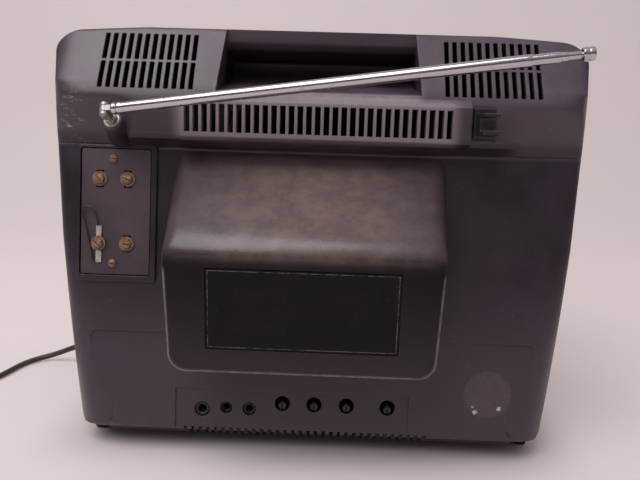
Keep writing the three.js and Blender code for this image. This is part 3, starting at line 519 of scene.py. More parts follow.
def lead_line():
    """The lead from its strain relief to its plug: a free run, a tied coil and a short tail."""
    line = through(CORD_ROUTE, 4)
    turn = math.radians(86)
    radius, heights = COIL_COLUMNS[0]

    def on_coil(angle, r, z):
        return COIL_CENTRE + Vector((r * math.cos(angle), r * math.sin(angle), z))

    def heading(angle):
        return Vector((math.sin(angle), -math.cos(angle), 0))

    entry = on_coil(turn, radius, heights[0])
    run = (entry - line[-1]).length
    start = (line[-1] - line[-2]).normalized()
    line += hermite(line[-1], start * run, entry, heading(turn) * run, 8)
    levels = [(r, z) for r, column in COIL_COLUMNS for z in column]
    steps = 28
    swap = 13
    for k, (r, z) in enumerate(levels):
        full = steps if k < len(levels) - 1 else steps * 2 // 3
        next_r, next_z = levels[min(k + 1, len(levels) - 1)]
        for s in range(1, full + 1):
            turn -= 2 * math.pi / steps
            t = max(0.0, (s - steps + swap) / swap)
            t = t * t * (3 - 2 * t)
            line.append(on_coil(turn, r + (next_r - r) * t, z + (next_z - z) * t))
    end_r, end_z = levels[-1]
    plug_end = Vector((PLUG_X, PLUG_NECK_Y + 1, 8.3))
    sweep = math.radians(150)
    for s in range(1, 23):
        t = s / 22
        angle = turn - sweep * t
        rise = math.sin(math.pi * min(1, t * 1.5)) * 6.2
        line.append(on_coil(angle, end_r + 17.5 * t ** 1.4, end_z + rise - 1.2 * t))
    last = line[-1]
    tangent = (last - line[-2]).normalized()
    reach = (plug_end - last).length
    line += hermite(last, tangent * reach, plug_end, Vector((0, -1, 0)) * reach, 10)
    return line


def free_cord():
    curve = bpy.data.curves.new("mains_lead", "CURVE")
    curve.dimensions = "3D"
    curve.bevel_depth = CORD_DIAMETER / 2 * MM
    curve.bevel_resolution = 5
    curve.use_fill_caps = True
    line = lead_line()
    spline = curve.splines.new("POLY")
    spline.points.add(len(line) - 1)
    for point, q in zip(spline.points, line):
        point.co = (*metres(q), 1)
    spline.use_smooth = True
    lead = link(bpy.data.objects.new("mains_lead", curve))
    curve.materials.append(CORD.material)
    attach(lead, "cabinet")
    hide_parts("mains_cord", "mains_cord_coil")
    return lead


def strain_relief():
    """A tapered sleeve with a flange and ribs cut round it."""
    profile = [(0, 183.5), (4.9, 183.5), (4.9, 188.1), (6.1, 188.1), (6.4, 188.5), (6.4, 190), (6, 190.4),
        (4.9, 190.6)]
    x, radius = 190.9, 4.75
    while x < 209.5:
        profile += [(radius, x), (radius, x + 1.5), (radius - 0.75, x + 1.75), (radius - 0.8, x + 2.35)]
        x += 2.6
        radius -= 0.2
    profile += [(3.3, x), (3.2, 211.4), (2.7, 212), (0, 212)]
    sleeve = turned("lead_sleeve", profile, along_x((0, -140.5, 22)), 32)
    return fit_out(sleeve, "cabinet", CORD, ["cord_strain_relief"], 40)


def plug():
    """A moulded plug: a waisted body with finger ridges, a ribbed neck and two flat blades."""
    rings = []
    for y, w, h in ((-118, 16.6, 15), (-117, 17.8, 16), (-110, 18, 16), (-103, 15.4, 13.4),
            (-96, 14.6, 12.6), (-90, 15.6, 13.6), (-87, 16.4, 14.4), (-86, 15, 13), (-85, 9, 9),
            (-83, 8.4, 8.4), (-82.4, 7.4, 7.4), (-81.4, 7.4, 7.4), (-80.8, 8, 8), (-79, 7.8, 7.8),
            (-78.4, 6.8, 6.8), (-77.4, 6.8, 6.8), (-76.8, 7.4, 7.4), (-74.4, 7, 7), (-74, 6, 6)):
        radius = min(w, h) * 0.34
        rings.append([(x, y, z) for x, z in rounded_rect(PLUG_X, 8.3, w, h, radius, 5)])
    body = loft("plug_body", rings)
    fit_out(body, "cabinet", CORD, ["mains_plug"], 50)
    blades = []
    for shift in (-6.35, 6.35):
        blade = block("blade", (PLUG_X + shift - 3.1, PLUG_X + shift + 3.1), (-134, -117.6), (7.5, 9.1))
        hole = bar(1.5, 5.3, 11.3, along_z(PLUG_X + shift, -130.5), 20)
        blades.append(bevelled(cut(blade, hole), 0.25, 2))
    blades = fit_out(joined("plug_blades", blades), "cabinet", STEEL)
    return [body, blades]


lead = free_cord()
lead_pieces = [strain_relief(), *plug()]
metres((212.4, -140.5, 21.9))

# ---------------------------------------------------------------- rear cover

COVER_TOP, COVER_BOTTOM, COVER_HALF, COVER_TUCK = 294.3, 15, 179.5, 11.2
TUCK_FROM, TUCK_SPAN = 200, 185
CORNER_ACROSS, CORNER_ALONG, CORNER_REACH = 36, 32, 13.6
LEDGE_Y, LEDGE_TOP, LEDGE_BOTTOM = 8, 245, 221.5
# the ledge fades out between these distances from the middle
LEDGE_FADE = (116, 140)
FACE_TOP = 212
PANEL_TOP, PANEL_HALF, PANEL_DEPTH = 86, 152.5, 1.2
BAY_TOP, BAY_LOW, BAY_DEPTH = 47.5, 19, 2.4
NECK_X = 4.15
LABEL_Z = 118.5
BOX_LEAN = 0.0435
BOX_NEAR = 59
BOARD_X, BOARD_Z, BOARD_W, BOARD_H = 136.2, 167, 47.1, 85.5
# name, x, z and the radius of its hole
JACKS = [
    ("earphone_jack", 74.4, 32.4, 5.3),
    ("aux_jack", 57.7, 34.2, 4.2),
    ("dc_power_jack", 41.6, 33.8, 4.6),
]
SHAFTS = [
    ("vertical_hold", 18.6, 38.4),
    ("vertical_size", -3.4, 38.4),
    ("vertical_linearity", -25.8, 38.4),
    ("horizontal_hold", -54.1, 38.2),
]
SHAFT_HOLE = 5.3
COVER_SCREW_X, COVER_SCREW_Y = (120, -120), -40
ANTENNA_PIVOT = Vector((132.4, 24, 234.1))
ANTENNA_LEAN = math.radians(25)
SWIVEL_AXIS = Vector((0, math.cos(ANTENNA_LEAN), math.sin(ANTENNA_LEAN)))
BOSS_ROOT = ANTENNA_PIVOT - 18 * SWIVEL_AXIS


def tucked_in(z, tuck):
    """How far the sides have come in at a height."""
    return tuck * (max(0.0, TUCK_FROM - z) / TUCK_SPAN) ** 1.63


def outline(half, tuck, top, bottom, corner_top, corner_bottom, inset=0.0, crown=6.5):
    """Front view of the cabinet: sides that lean in below the middle, a crowned top and rounded corners."""
    def side_at(z):
        return half - tucked_in(z, tuck) - inset

    def crown_at(x):
        return top - inset - crown * (x / half) ** 2

    upper, lower = corner_top - inset, corner_bottom - inset
    x_top = side_at(top - corner_top) - upper
    z_top = crown_at(x_top) - upper
    x_bottom = side_at(bottom + corner_bottom) - lower
    z_bottom = bottom + inset + lower
    sides = [235 - 12.5 * i for i in range(17)]
    points = arc(x_top, z_top, upper, upper, 0, 90, 14)
    points += [(x, crown_at(x)) for x in [x_top * (1 - i / 12) for i in range(1, 24)]]
    points += arc(-x_top, z_top, upper, upper, 90, 180, 14)
    points += [(-side_at(z), z) for z in sides]
    points += arc(-x_bottom, z_bottom, lower, lower, 180, 270, 10)
    points += arc(x_bottom, z_bottom, lower, lower, 270, 360, 10)
    points += [(side_at(z), z) for z in reversed(sides)]
    return points


def section(points, y):
    return [(x, y, z) for x, z in points]


def cover_sides(inset):
    """The cover's top, sides and bottom, from the bezel to past its back."""
    front = outline(188, 1.5, COVER_TOP, 8, 22, 18, inset)
    waist = outline(COVER_HALF + 2.5, COVER_TUCK - 2.9, COVER_TOP, COVER_BOTTOM, 22, 12, inset)
    rear = outline(COVER_HALF, COVER_TUCK, COVER_TOP, COVER_BOTTOM, 22, 12, inset)
    return loft("sides", [section(front, -154.7 - (5 if inset else 0)), section(waist, -60),
        section(rear, -20), section(rear, 26)])


def back_levels(inset):
    """(reach, height) of the rear face from the top edge down to the rounded lower edge."""
    top, edge = COVER_TOP + 0.05 - inset, 10
    lip = COVER_BOTTOM + edge
    sunk = PANEL_DEPTH if inset else 0
    corners = [(-15.8 - inset * 0.6, top), (LEDGE_Y - inset, LEDGE_TOP - inset * 0.3),
        (LEDGE_Y + 0.4 - inset, LEDGE_BOTTOM + inset), (LEDGE_Y - 3 - inset, LEDGE_BOTTOM - 4 + inset),
        (lower_face(FACE_TOP) - inset, FACE_TOP - 0.5 + inset * 0.2)]
    corners += [(lower_face(z) - inset, z) for z in (150, 110)]
    corners += [(lower_face(z) - sunk - inset, z) for z in (PANEL_TOP, 60, 40, lip)]
    closed = [(-100, top)] + corners + [(-100, lip)]
    smooth = fillet(closed, {1: 5, 2: 46, 3: 1.4, 4: 1.5, 5: 3}, 8)[1:-1]
    for i in range(9):
        a = math.radians(90 * i / 8)
        smooth.append((lower_face(lip) - sunk - inset - edge * (1 - math.cos(a)),
            lip - (edge + 0.05 - inset) * math.sin(a)))
    return smooth


def blended(a, b, width):
    """The lower of two heights, rounded where they cross."""
    near = max(width - abs(a - b), 0) / width
    return min(a, b) - near * near * width / 4


def back_stack(inset):
    """Plans of the back at every level, whose elliptical corners round into the face and end the ledge."""
    rings = []
    last = None
    for reach, z in back_levels(inset):
        z = z if last is None else min(z, last - 0.02)
        last = z
        half = COVER_HALF - tucked_in(z, COVER_TUCK) - inset
        corner = arc(half - CORNER_ACROSS, CORNER_REACH - inset - CORNER_ALONG, CORNER_ACROSS,
            CORNER_ALONG, 0, 90, 30)
        near = min(reach, lower_face(FACE_TOP) - inset + (z - FACE_TOP) * 0.45) if z > FACE_TOP else reach
        right = [(x, blended(y, near, 7)) for x, y in corner]
        inner, outer = LEDGE_FADE
        steps = [i / 12 for i in range(13)]
        fade = [(outer + (inner - outer) * t, near + (reach - near) * t * t * (3 - 2 * t)) for t in steps]
        ring = [(half + 26, -190), (half + 6, right[0][1] - 0.5)] + right + fade
        ring += [(-x, y) for x, y in reversed(ring)]
        bend = 6.5 * min(1, max(0, (z - 262) / 22)) ** 2
        rings.append([(x, y, z - bend * min(1, abs(x) / 179.5) ** 2) for x, y in ring])
    return loft("stack", rings)


def neck_box(inset):
    """The boss over the neck of the tube, sloping on top, with a soft near edge."""
    def ring(y, half, top, bottom, radius, lean=0.0):
        middle = (top + bottom) / 2
        pts = rounded_rect(NECK_X, middle, 2 * (half - inset), top - bottom - 2 * inset,
            radius - inset * 0.6, 9)
        out = []
        for x, z in pts:
            narrowed = NECK_X + (x - NECK_X) * (1 + 0.035 * (z - top) / (top - bottom))
            out.append((narrowed, y + lean * (z - LABEL_Z) - (inset if y > 40 else 0), z))
        return out

    def bezier(a, b, c, t):
        return a * (1 - t) ** 2 + b * 2 * t * (1 - t) + c * t * t

    rings = [ring(-16 - inset, 92, 216.5, 66, 9), ring(-7 - inset, 91, 210, 68, 9)]
    for y, k in ((20, 0.0), (38, 0.6)):
        t = (y + 7) / 53
        rings.append(ring(y, 91 - 5.9 * t, 210 - 42.6 * t, 68 + 8 * t, 9 + (y + 7) / 40, BOX_LEAN * k))
    for i in range(19):
        t = i / 18
        y = bezier(46, 58.6, 59, t)
        edge = 4.2 * (1 - math.sqrt(max(0, 1 - (max(0, y - 54.8) / 4.2) ** 2)))
        rings.append(ring(y, 85.1 - 0.04 * (y - 46) - edge, bezier(167.4, 157.6, 150.5, t),
            76 + 0.11 * (y - 46) + edge, 10.3 + 1.4 * t, BOX_LEAN))
    return loft("neck_box", rings)


def hand_recess(inset):
    """The hand recess: a floor that climbs forwards and a grip bar that hangs over it."""
    profile = [(40, 310), (40, 248.6 - inset), (4 + inset * 0.4, 249.2 - inset), (-44, 260 - inset),
        (-57 - inset, 268 - inset * 0.5), (-57 - inset, 276 + inset), (-24 - inset, 279 + inset),
        (-18 - inset, 284 + inset), (-18 - inset, 310)]
    profile = fillet(profile, {2: 9, 3: 12, 4: 5, 5: 3, 6: 6, 7: 6}, 8)

    def width(z):
        return 63 + (294 - z) * 0.085 + inset

    side = [(width(310), 310), (-width(310), 310), (-width(240), 240), (width(240), 240)]
    return keep_common(prism("recess", profile, "x", -90, 90), prism("wedge", side, "y", -80, 60))


def on_face(x, z, width, height, low, high, radius=2.0, steps=5):
    """A rounded block that lies on the leaning lower face."""
    turn = Matrix.Rotation(FACE_TILT, 4, "X")

    def place(p):
        q = turn @ Vector(p)
        return metres((q.x + x, q.y + lower_face(z), q.z + z))

    return prism("face_block", rounded_rect(0, 0, width, height, radius, steps), "y", low, high, place)


def on_label(width, height, low, high, radius=1.0):
    """A rounded block that lies on the near face of the boss."""
    turn = Matrix.Rotation(-math.atan(BOX_LEAN), 4, "X")

    def place(p):
        q = turn @ Vector(p)
        return metres((q.x + NECK_X, q.y + BOX_NEAR, q.z + LABEL_Z))

    return prism("label_block", rounded_rect(0, 0, width, height, radius, 4), "y", low, high, place)


def at_boss(p):
    """Places a lathe whose axis is the one the antenna turns about."""
    q = Matrix.Rotation(ANTENNA_LEAN, 4, "X") @ Vector(p)
    return metres(q + BOSS_ROOT)


SIDE_GRILLE_INNER, SIDE_GRILLE_OUTER, SIDE_SLOTS, SIDE_SLOT = 81.6, 144.2, 12, 3.1
RIB_GRILLE_LEFT, RIB_GRILLE_RIGHT, RIB_SLOTS, RIB_BAR = 85.6, -86, 31, 2
VENT_RIGHT, VENT_LEFT, VENTS, VENT = -80, 86, 32, 2.4


def slots():
    """Cutters of the side grilles, the rib grille and the floor vents."""
    cutters = []
    pitch = (SIDE_GRILLE_OUTER - SIDE_GRILLE_INNER - SIDE_SLOT) / (SIDE_SLOTS - 1)
    for side in (1, -1):
        for i in range(SIDE_SLOTS):
            x = side * (SIDE_GRILLE_INNER + i * pitch + SIDE_SLOT / 2)
            for y, z in (((-26, 20), (268.7, 286.4)), ((-20, 24), (249.4, 267.1))):
                hole = rounded_rect(x, sum(z) / 2, SIDE_SLOT, z[1] - z[0], 0.5, 2)
                cutters.append(prism("slot", hole, "y", *y))
    pitch = (RIB_GRILLE_LEFT - RIB_GRILLE_RIGHT + RIB_BAR) / RIB_SLOTS
    for i in range(RIB_SLOTS):
        x = RIB_GRILLE_RIGHT + i * pitch
        cutters.append(block("slot", (x, x + pitch - RIB_BAR), (0, 30), (222.6, 240.4)))
    for i in range(VENTS):
        x = VENT_RIGHT + i * (VENT_LEFT - VENT_RIGHT) / (VENTS - 1)
        cutters.append(block("slot", (x - VENT / 2, x + VENT / 2), (-14.5, 20), (2, 20)))
    return joined("slots", cutters)


def cover_material():
    """The cabinet plastic with the cover's own dust, residue and scuffs, and zones painted lighter or darker:
    painted sheen on the upper face, a painted highlight on the boss's rim, painted shade on the clip's pad
    and painted light from the table low down.
    """
    n = plastic("cover", COVER_COLOUR, 0.4, dust=0.62, wear=0.45)
    axes = [n.math("DIVIDE", axis, MM) for axis in n.axes()]
    facing = n.ramp(n.upward(), 0.3, 0.5, 1, 0)
    facing_back = n.ramp(n.upward(), 0.5, 0.7, 1, 0)

    def zone(*limits):
        """One inside a box of (axis, middle, half width, softness) limits, and nought outside."""
        mask = 1.0
        for axis, middle, half, soft in limits:
            away = n.away(axes[axis], middle)
            mask = n.times(mask, n.ramp(away, half - soft, half + soft, 1, 0))
        return mask

    def spot(x, z, radius, soft):
        """One inside a ragged round spot on the back."""
        along = n.math("POWER", n.away(axes[0], x), 2.0)
        up = n.math("POWER", n.away(axes[2], z), 2.0)
        away = n.plus(n.math("SQRT", n.plus(along, up)), n.ramp(n.noise(0.003, 5), 0.3, 0.7, -0.7, 0.7))
        return n.times(n.ramp(away, radius - soft, radius + soft, 1, 0), facing)

    split = n.node("SeparateXYZ")
    n.plug(n.node("NewGeometry").outputs["Normal"], split.inputs[0])
    turned_away = split.outputs["Y"]
    rounding = n.times(n.ramp(turned_away, 0.25, 0.55), n.ramp(turned_away, 0.78, 0.94, 1, 0))
    mottle = n.ramp(n.noise(0.012, 6, 0.7, offset=(9, 1, 4)), 0.3, 0.7, 0.5, 1)
    streaks = n.ramp(n.noise(0.0035, 5, 0.75, stretch=(0.5, 1, 1.4), offset=(4, 4, 1)), 0.58, 0.66)
    patches = n.ramp(n.noise(0.004, 5, 0.7), 0.3, 0.6, 0.5, 1)
    upper_face_sheen_and_dust = zone((2, 262, 42, 3), (1, DATUM - 2, 20, 5))
    box_top = zone((1, DATUM + 34, 36, 10), (2, 182, 36, 8))
    box_top_middle = zone((0, 4, 68, 44), (1, DATUM + 34, 36, 14), (2, 182, 36, 8))
    box_face = zone((0, 4, 90, 3), (1, DATUM + 70, 15, 3), (2, 110, 40, 5))
    box_near_edge = zone((0, 4, 84, 4), (1, DATUM + 55, 9, 4), (2, 157, 9, 4))
    box_rim_glint = n.times(rounding, zone((0, 4, 95, 1), (1, DATUM + 62, 10, 2), (2, 106, 36, 3)))
    ribs = zone((0, 1.5, 90, 6), (1, DATUM + 12, 6, 2), (2, 232, 14, 3))
    recess_lip = zone((0, 0, 66, 5), (1, DATUM + 5, 7, 3), (2, 250, 5, 2))
    table_lit_low_down = zone((0, 0, 400, 1), (2, 40, 66, 46))
    clip_pad_shade = zone((0, -106.6, 7.6, 1), (2, 233, 11, 1))
    upper_corner = zone((0, 161, 9, 4), (2, 234, 16, 8))
    rim_glint_breakup = n.ramp(n.noise(0.006, 5, 0.7), 0.3, 0.6, 0.4, 1)
    layers = [
        # painted sheen on the upper back face, with some dust
        (n.times(upper_face_sheen_and_dust, facing_back), (146, 132, 143), 0.14),
        (box_top, (14, 10, 14), 0.68),
        (n.times(box_top_middle, mottle), (136, 114, 106), 0.66),
        (box_face, (10, 7, 11), 0.85),
        # painted highlight along the rounded rim of the boss's near face, broken up by noise
        (n.times(box_rim_glint, rim_glint_breakup), (170, 158, 168), 0.36),
        (ribs, (178, 164, 170), 0.42),
        (n.times(recess_lip, mottle), (186, 174, 172), 0.5),
        # painted light from the table, lightening the back low down
        (n.times(table_lit_low_down, facing), (132, 116, 132), 0.13),
        (n.times(spot(-122, 50.5, 16, 0.7), patches), (112, 100, 98), 0.27),
    ]
    for x, z, radius in ((-114, 38.5, 1.5), (-130.6, 41, 1.1), (-112, 42, 0.7)):
        layers.append((spot(x, z, radius, 0.4), (206, 198, 196), 0.85))
    # painted shade on the clip's pad, then real scuffs at the upper corner
    layers += [(clip_pad_shade, (12, 9, 12), 0.75), (n.times(upper_corner, streaks), (186, 176, 180), 0.6)]
    base = n.shader.inputs["Base Color"].links[0].from_socket
    for mask, colour, strength in layers:
        base = n.mix(n.times(mask, strength), base, srgb(*colour))
    rough = n.shader.inputs["Roughness"].links[0].from_socket
    polished = n.times(n.math("MAXIMUM", box_near_edge, box_rim_glint), 0.17)
    n.set(Base_Color=base, Specular_IOR_Level=n.minus(0.5, n.times(box_face, 0.33)),
        Roughness=n.minus(rough, polished))
    return n


COVER = cover_material()


def rear_cover():
    """The moulded back shell with its wells, holes and slots."""
    body = keep_common(cover_sides(0), back_stack(0))
    side = [(-4, 247.2), (7.4, 247.2), (12.4, 242.6), (12.9, 219.6), (6, 216.8), (-4, 216.8)]
    ribs = prism("ribs", fillet(side, {1: 1.2, 2: 2, 3: 1.2, 4: 1}), "x", -98.6, 89)
    boss = turned("boss", [(0, -16), (9.4, -16), (7.4, -1.5), (6.6, 3), (6.2, 3.9), (5.6, 4.4), (0, 4.4)],
        at_boss)
    frame_block = on_face(BOARD_X - 1, BOARD_Z - 1, BOARD_W + 7.4, BOARD_H + 7.4, -6, 1.8, 2.6)
    add(body, neck_box(0), bevelled(ribs, 1.0, 3), bevelled(frame_block, 0.7, 3), boss,
        bevelled(block("rail", (-146, 146), (-14, -6), (6, 17.5)), 0.8, 2),
        bevelled(block("clip_pad", (-113.8, -99.5), (-4, 10.6), (223.5, 243)), 1.2, 3))
    hollow = add(keep_common(cover_sides(WALL), back_stack(WALL)), neck_box(WALL))
    housing = keep_common(hand_recess(WALL), block("part", (-100, 100), (-90, 40), (200, 320)))
    cut(body, cut(hollow, housing), hand_recess(0))

    side = [(lower_face(z) - PANEL_DEPTH, z) for z in (PANEL_TOP, 5)] + [(40, 5), (40, PANEL_TOP)]
    front = rounded_rect(0, 40, 2 * PANEL_HALF, 2 * (PANEL_TOP - 40), 4.5, 8)
    panel = keep_common(prism("panel", side, "x", -PANEL_HALF, PANEL_HALF),
        prism("front", front, "y", -20, 60))

    side = [(lower_face(z) - BAY_DEPTH, z) for z in (BAY_TOP, BAY_LOW)] + [(40, BAY_LOW), (40, BAY_TOP)]
    bay = prism("bay", side, "x", -68.5, 93)
    holes = [bar(hole, -10, 30, along_y(x, z)) for _, x, z, hole in JACKS]
    holes += [bar(SHAFT_HOLE, -10, 30, along_y(x, z)) for _, x, z in SHAFTS]
    board_seat = on_face(BOARD_X, BOARD_Z, BOARD_W + 1.4, BOARD_H + 1.4, -0.6, 9)
    window = on_face(BOARD_X, BOARD_Z, BOARD_W - 6, BOARD_H - 6, -20, 9)
    cord_hole = bar(5.2, 170, 200, along_x((0, -140.5, 22)))
    swivel_hole = bar(4.2, -20, 10, at_boss)
    screws = [bar(2.2, 5, 27, along_z(x, COVER_SCREW_Y), 20) for x in COVER_SCREW_X]
    cut(body, panel, bay, *holes, board_seat, window, on_label(116, 50.5, -1, 8), cord_hole, swivel_hole,
        *screws, slots())
    body.name = body.data.name = "back_shell"
    return fit_out(body, "cabinet", COVER, ["rear_cover"], 30)


rear_cover()

# ---------------------------------------------------------------- antenna

ROD_TARGET = Vector((-150.4, 60, 270.1))
ROD_AXIS = (ROD_TARGET - ANTENNA_PIVOT).normalized()
PIN_AXIS = ROD_AXIS.cross(SWIVEL_AXIS).normalized()


def in_frame(axis):
    """Places a piece with its Y along the axis and its Z along the knuckle's pin."""
    side = axis.cross(PIN_AXIS).normalized()

    def place(p):
        return metres(ANTENNA_PIVOT + side * p[0] + axis * p[1] + PIN_AXIS * p[2])
    return place


on_swivel = in_frame(SWIVEL_AXIS)
on_rod = in_frame(ROD_AXIS)


def upright(radius, low, high, place, segments=32):
    """A round bar along the knuckle's pin."""
    return turned("bar", [(0, low), (radius - 0.2, low), (radius, low + 0.2), (radius, high - 0.2),
        (radius - 0.2, high), (0, high)], lambda p: place((p[0], p[2], p[1])), segments)


def antenna_base():
    post = turned("antenna_post", [(0, -22), (3.2, -22), (3.2, -13.55), (5.1, -13.5), (5.2, -13.2),
        (4.9, -12.8), (4.0, -12.7), (3.9, -12.4), (3.9, -9.8), (3.5, -9.4), (2.6, -9.2), (2.5, -3.2),
        (0, -3.2)], on_swivel)
    ears = []
    for low, high in ((2.05, 4.25), (-4.25, -2.05)):
        ear = upright(2.8, low, high, on_swivel)
        ears.append(add(ear, block("root", (-2.6, 2.6), (-5, -0.2), (low, high), on_swivel)))
    yoke = bevelled(block("yoke", (-2.6, 2.6), (-5.6, -3.3), (-4.25, 4.25), on_swivel), 0.3, 2)
    base = add(post, yoke, *ears)
    cut(base, upright(1.25, -9, 9, on_swivel, 20))
    base.name = "antenna_base_piece"
    fit_out(base, "antenna_base", KNUCKLE_METAL, ["antenna_swivel"], 40)
    pin = turned("antenna_pin", [(0, -5.05), (1.3, -5.0), (1.8, -4.6), (1.9, -4.3), (1.2, -4.28),
        (1.2, 4.28), (1.9, 4.3), (1.8, 4.6), (1.3, 5.0), (0, 5.05)],
        lambda p: on_swivel((p[0], p[2], p[1])), 28)
    fit_out(pin, "antenna_base", KNUCKLE_METAL, ["antenna_hinge_pin"], 40)


def groove(radius, at, depth=0.16, width=0.9):
    """Profile points of a shallow groove round a bar."""
    return [(radius, at - width), (radius - depth, at - width * 0.3), (radius - depth, at + width * 0.3),
        (radius, at + width)]


def antenna_rod():
    tongue = add(upright(2.8, -1.8, 1.8, on_rod), block("neck", (-2.2, 2.2), (0.2, 8), (-1.8, 1.8), on_rod))
    cut(tongue, upright(1.25, -9, 9, on_rod, 20))
    beads = [(0, 5.2), (2.9, 5.2), (3.5, 5.6), (3.75, 6.3), (3.75, 7.4), (3.5, 8.1), (3.2, 8.4),
        (3.2, 8.8), (3.5, 9.1), (3.75, 9.7), (3.75, 10.9), (3.55, 11.8), (3.5, 12.4)]
    for at in (40, 51, 66):
        beads += groove(3.5, at)
    end = 255
    beads += [(3.5, end - 3), (3.42, end - 1), (3.25, end - 0.1), (3.12, end), (3.12, end - 12),
        (3.2, end - 13), (3.2, 14), (0, 14)]
    barrel = turned("antenna_barrel", beads, on_rod, 40)
    fit_out(barrel, "antenna_rod", CHROME, ["antenna_outer_tube"], 40)
    tongue.name = "antenna_tongue"
    fit_out(tongue, "antenna_rod", KNUCKLE_METAL, (), 40)
    sections = [("antenna_second", 3.05, 18.3, 270), ("antenna_third", 2.6, 22.3, 274),
        ("antenna_fourth", 2.15, 26.3, 281)]
    for i, (body, radius, start, end) in enumerate(sections):
        bore = radius - 0.3
        tube = turned(f"{body}_tube", [(bore, start), (radius - 0.05, start), (radius, start + 0.6),
            (radius, end - 3), (radius - 0.08, end - 1.2), (radius - 0.2, end - 0.1), (bore - 0.06, end),
            (bore - 0.06, end - 8), (bore, end - 9), (bore, start)], on_rod, 36)
        fit_out(tube, body, CHROME, [f"antenna_section_{i + 2}"], 40)
    tip = turned("antenna_cap", [(0, 32), (1.7, 32), (1.7, 281.4), (3.3, 281.4), (3.75, 281.8),
        (3.85, 282.5), (3.85, 284.2), (3.65, 284.5), (3.65, 284.9), (3.85, 285.2), (3.85, 287),
        (3.5, 287.8), (2.9, 288), (0, 288)], on_rod, 36)
    fit_out(tip, "antenna_end", CHROME, ["antenna_tip"], 40)


def antenna_clip():
    """The open clip that the folded rod lies in."""
    low, high, floor, z, throat, prong = 10.9, 30, 20.6, 232.2, 4.6, 2.6
    shape = fillet([(low, z - throat - prong), (high, z - throat - prong * 0.7), (high, z - throat + 0.7),
        (high - 2.2, z - throat), (floor, z - throat), (floor, z + throat), (high - 2.2, z + throat),
        (high, z + throat - 0.7), (high, z + throat + prong * 0.7), (low, z + throat + prong)],
        {1: 0.9, 2: 0.7, 4: 2.2, 5: 2.2, 7: 0.7, 8: 0.9}, 4)
    clip = bevelled(prism("rod_clip", shape, "x", -111.3, -101.3), 0.35, 2)
    fit_out(clip, "cabinet", BLACK, ["antenna_clip"], 40)


antenna_base()
antenna_rod()
antenna_clip()

# ---------------------------------------------------------------- terminal board

FACE_TURN = Matrix.Rotation(FACE_TILT, 4, "X")


def on_board(p):
    q = FACE_TURN @ Vector(p)
    return metres((q.x + BOARD_X, q.y + lower_face(BOARD_Z), q.z + BOARD_Z))


def at_board(x, z):
    return lambda p: on_board((p[0] + x, p[1], p[2] + z))


def screw(name, x, z, lift, phase):
    """A binding screw: a washer under a worn six-sided head with a slot."""
    washer = turned("washer", [(0, 1.4 + lift), (4.9, 1.4 + lift), (5.1, 1.6 + lift), (5.0, 2.1 + lift),
        (0, 2.2 + lift)], at_board(x, z), 36)
    head = turned("head", [(0, 2.1 + lift), (3.6, 2.1 + lift), (3.85, 2.5 + lift), (3.85, 3.4 + lift),
        (3.2, 4.1 + lift), (1.6, 4.45 + lift), (0, 4.5 + lift)], at_board(x, z), 6, phase)
    head = bevelled(head, 0.28, 2, 30)
    turn = Matrix.Rotation(phase + 0.6, 4, "Y")

    def slot_place(p):
        q = turn @ Vector(p)
        return on_board((q.x + x, q.y, q.z + z))

    cut(head, block("slot", (-0.45, 0.45), (3.5 + lift, 6 + lift), (-5, 5), slot_place))
    shank = bar(1.4, -5, 1.5 + lift, at_board(x, z), 20)
    piece = add(shank, washer, head)
    piece.name = name + "_piece"
    fit_out(piece, "cabinet", RUST, [name], 35)


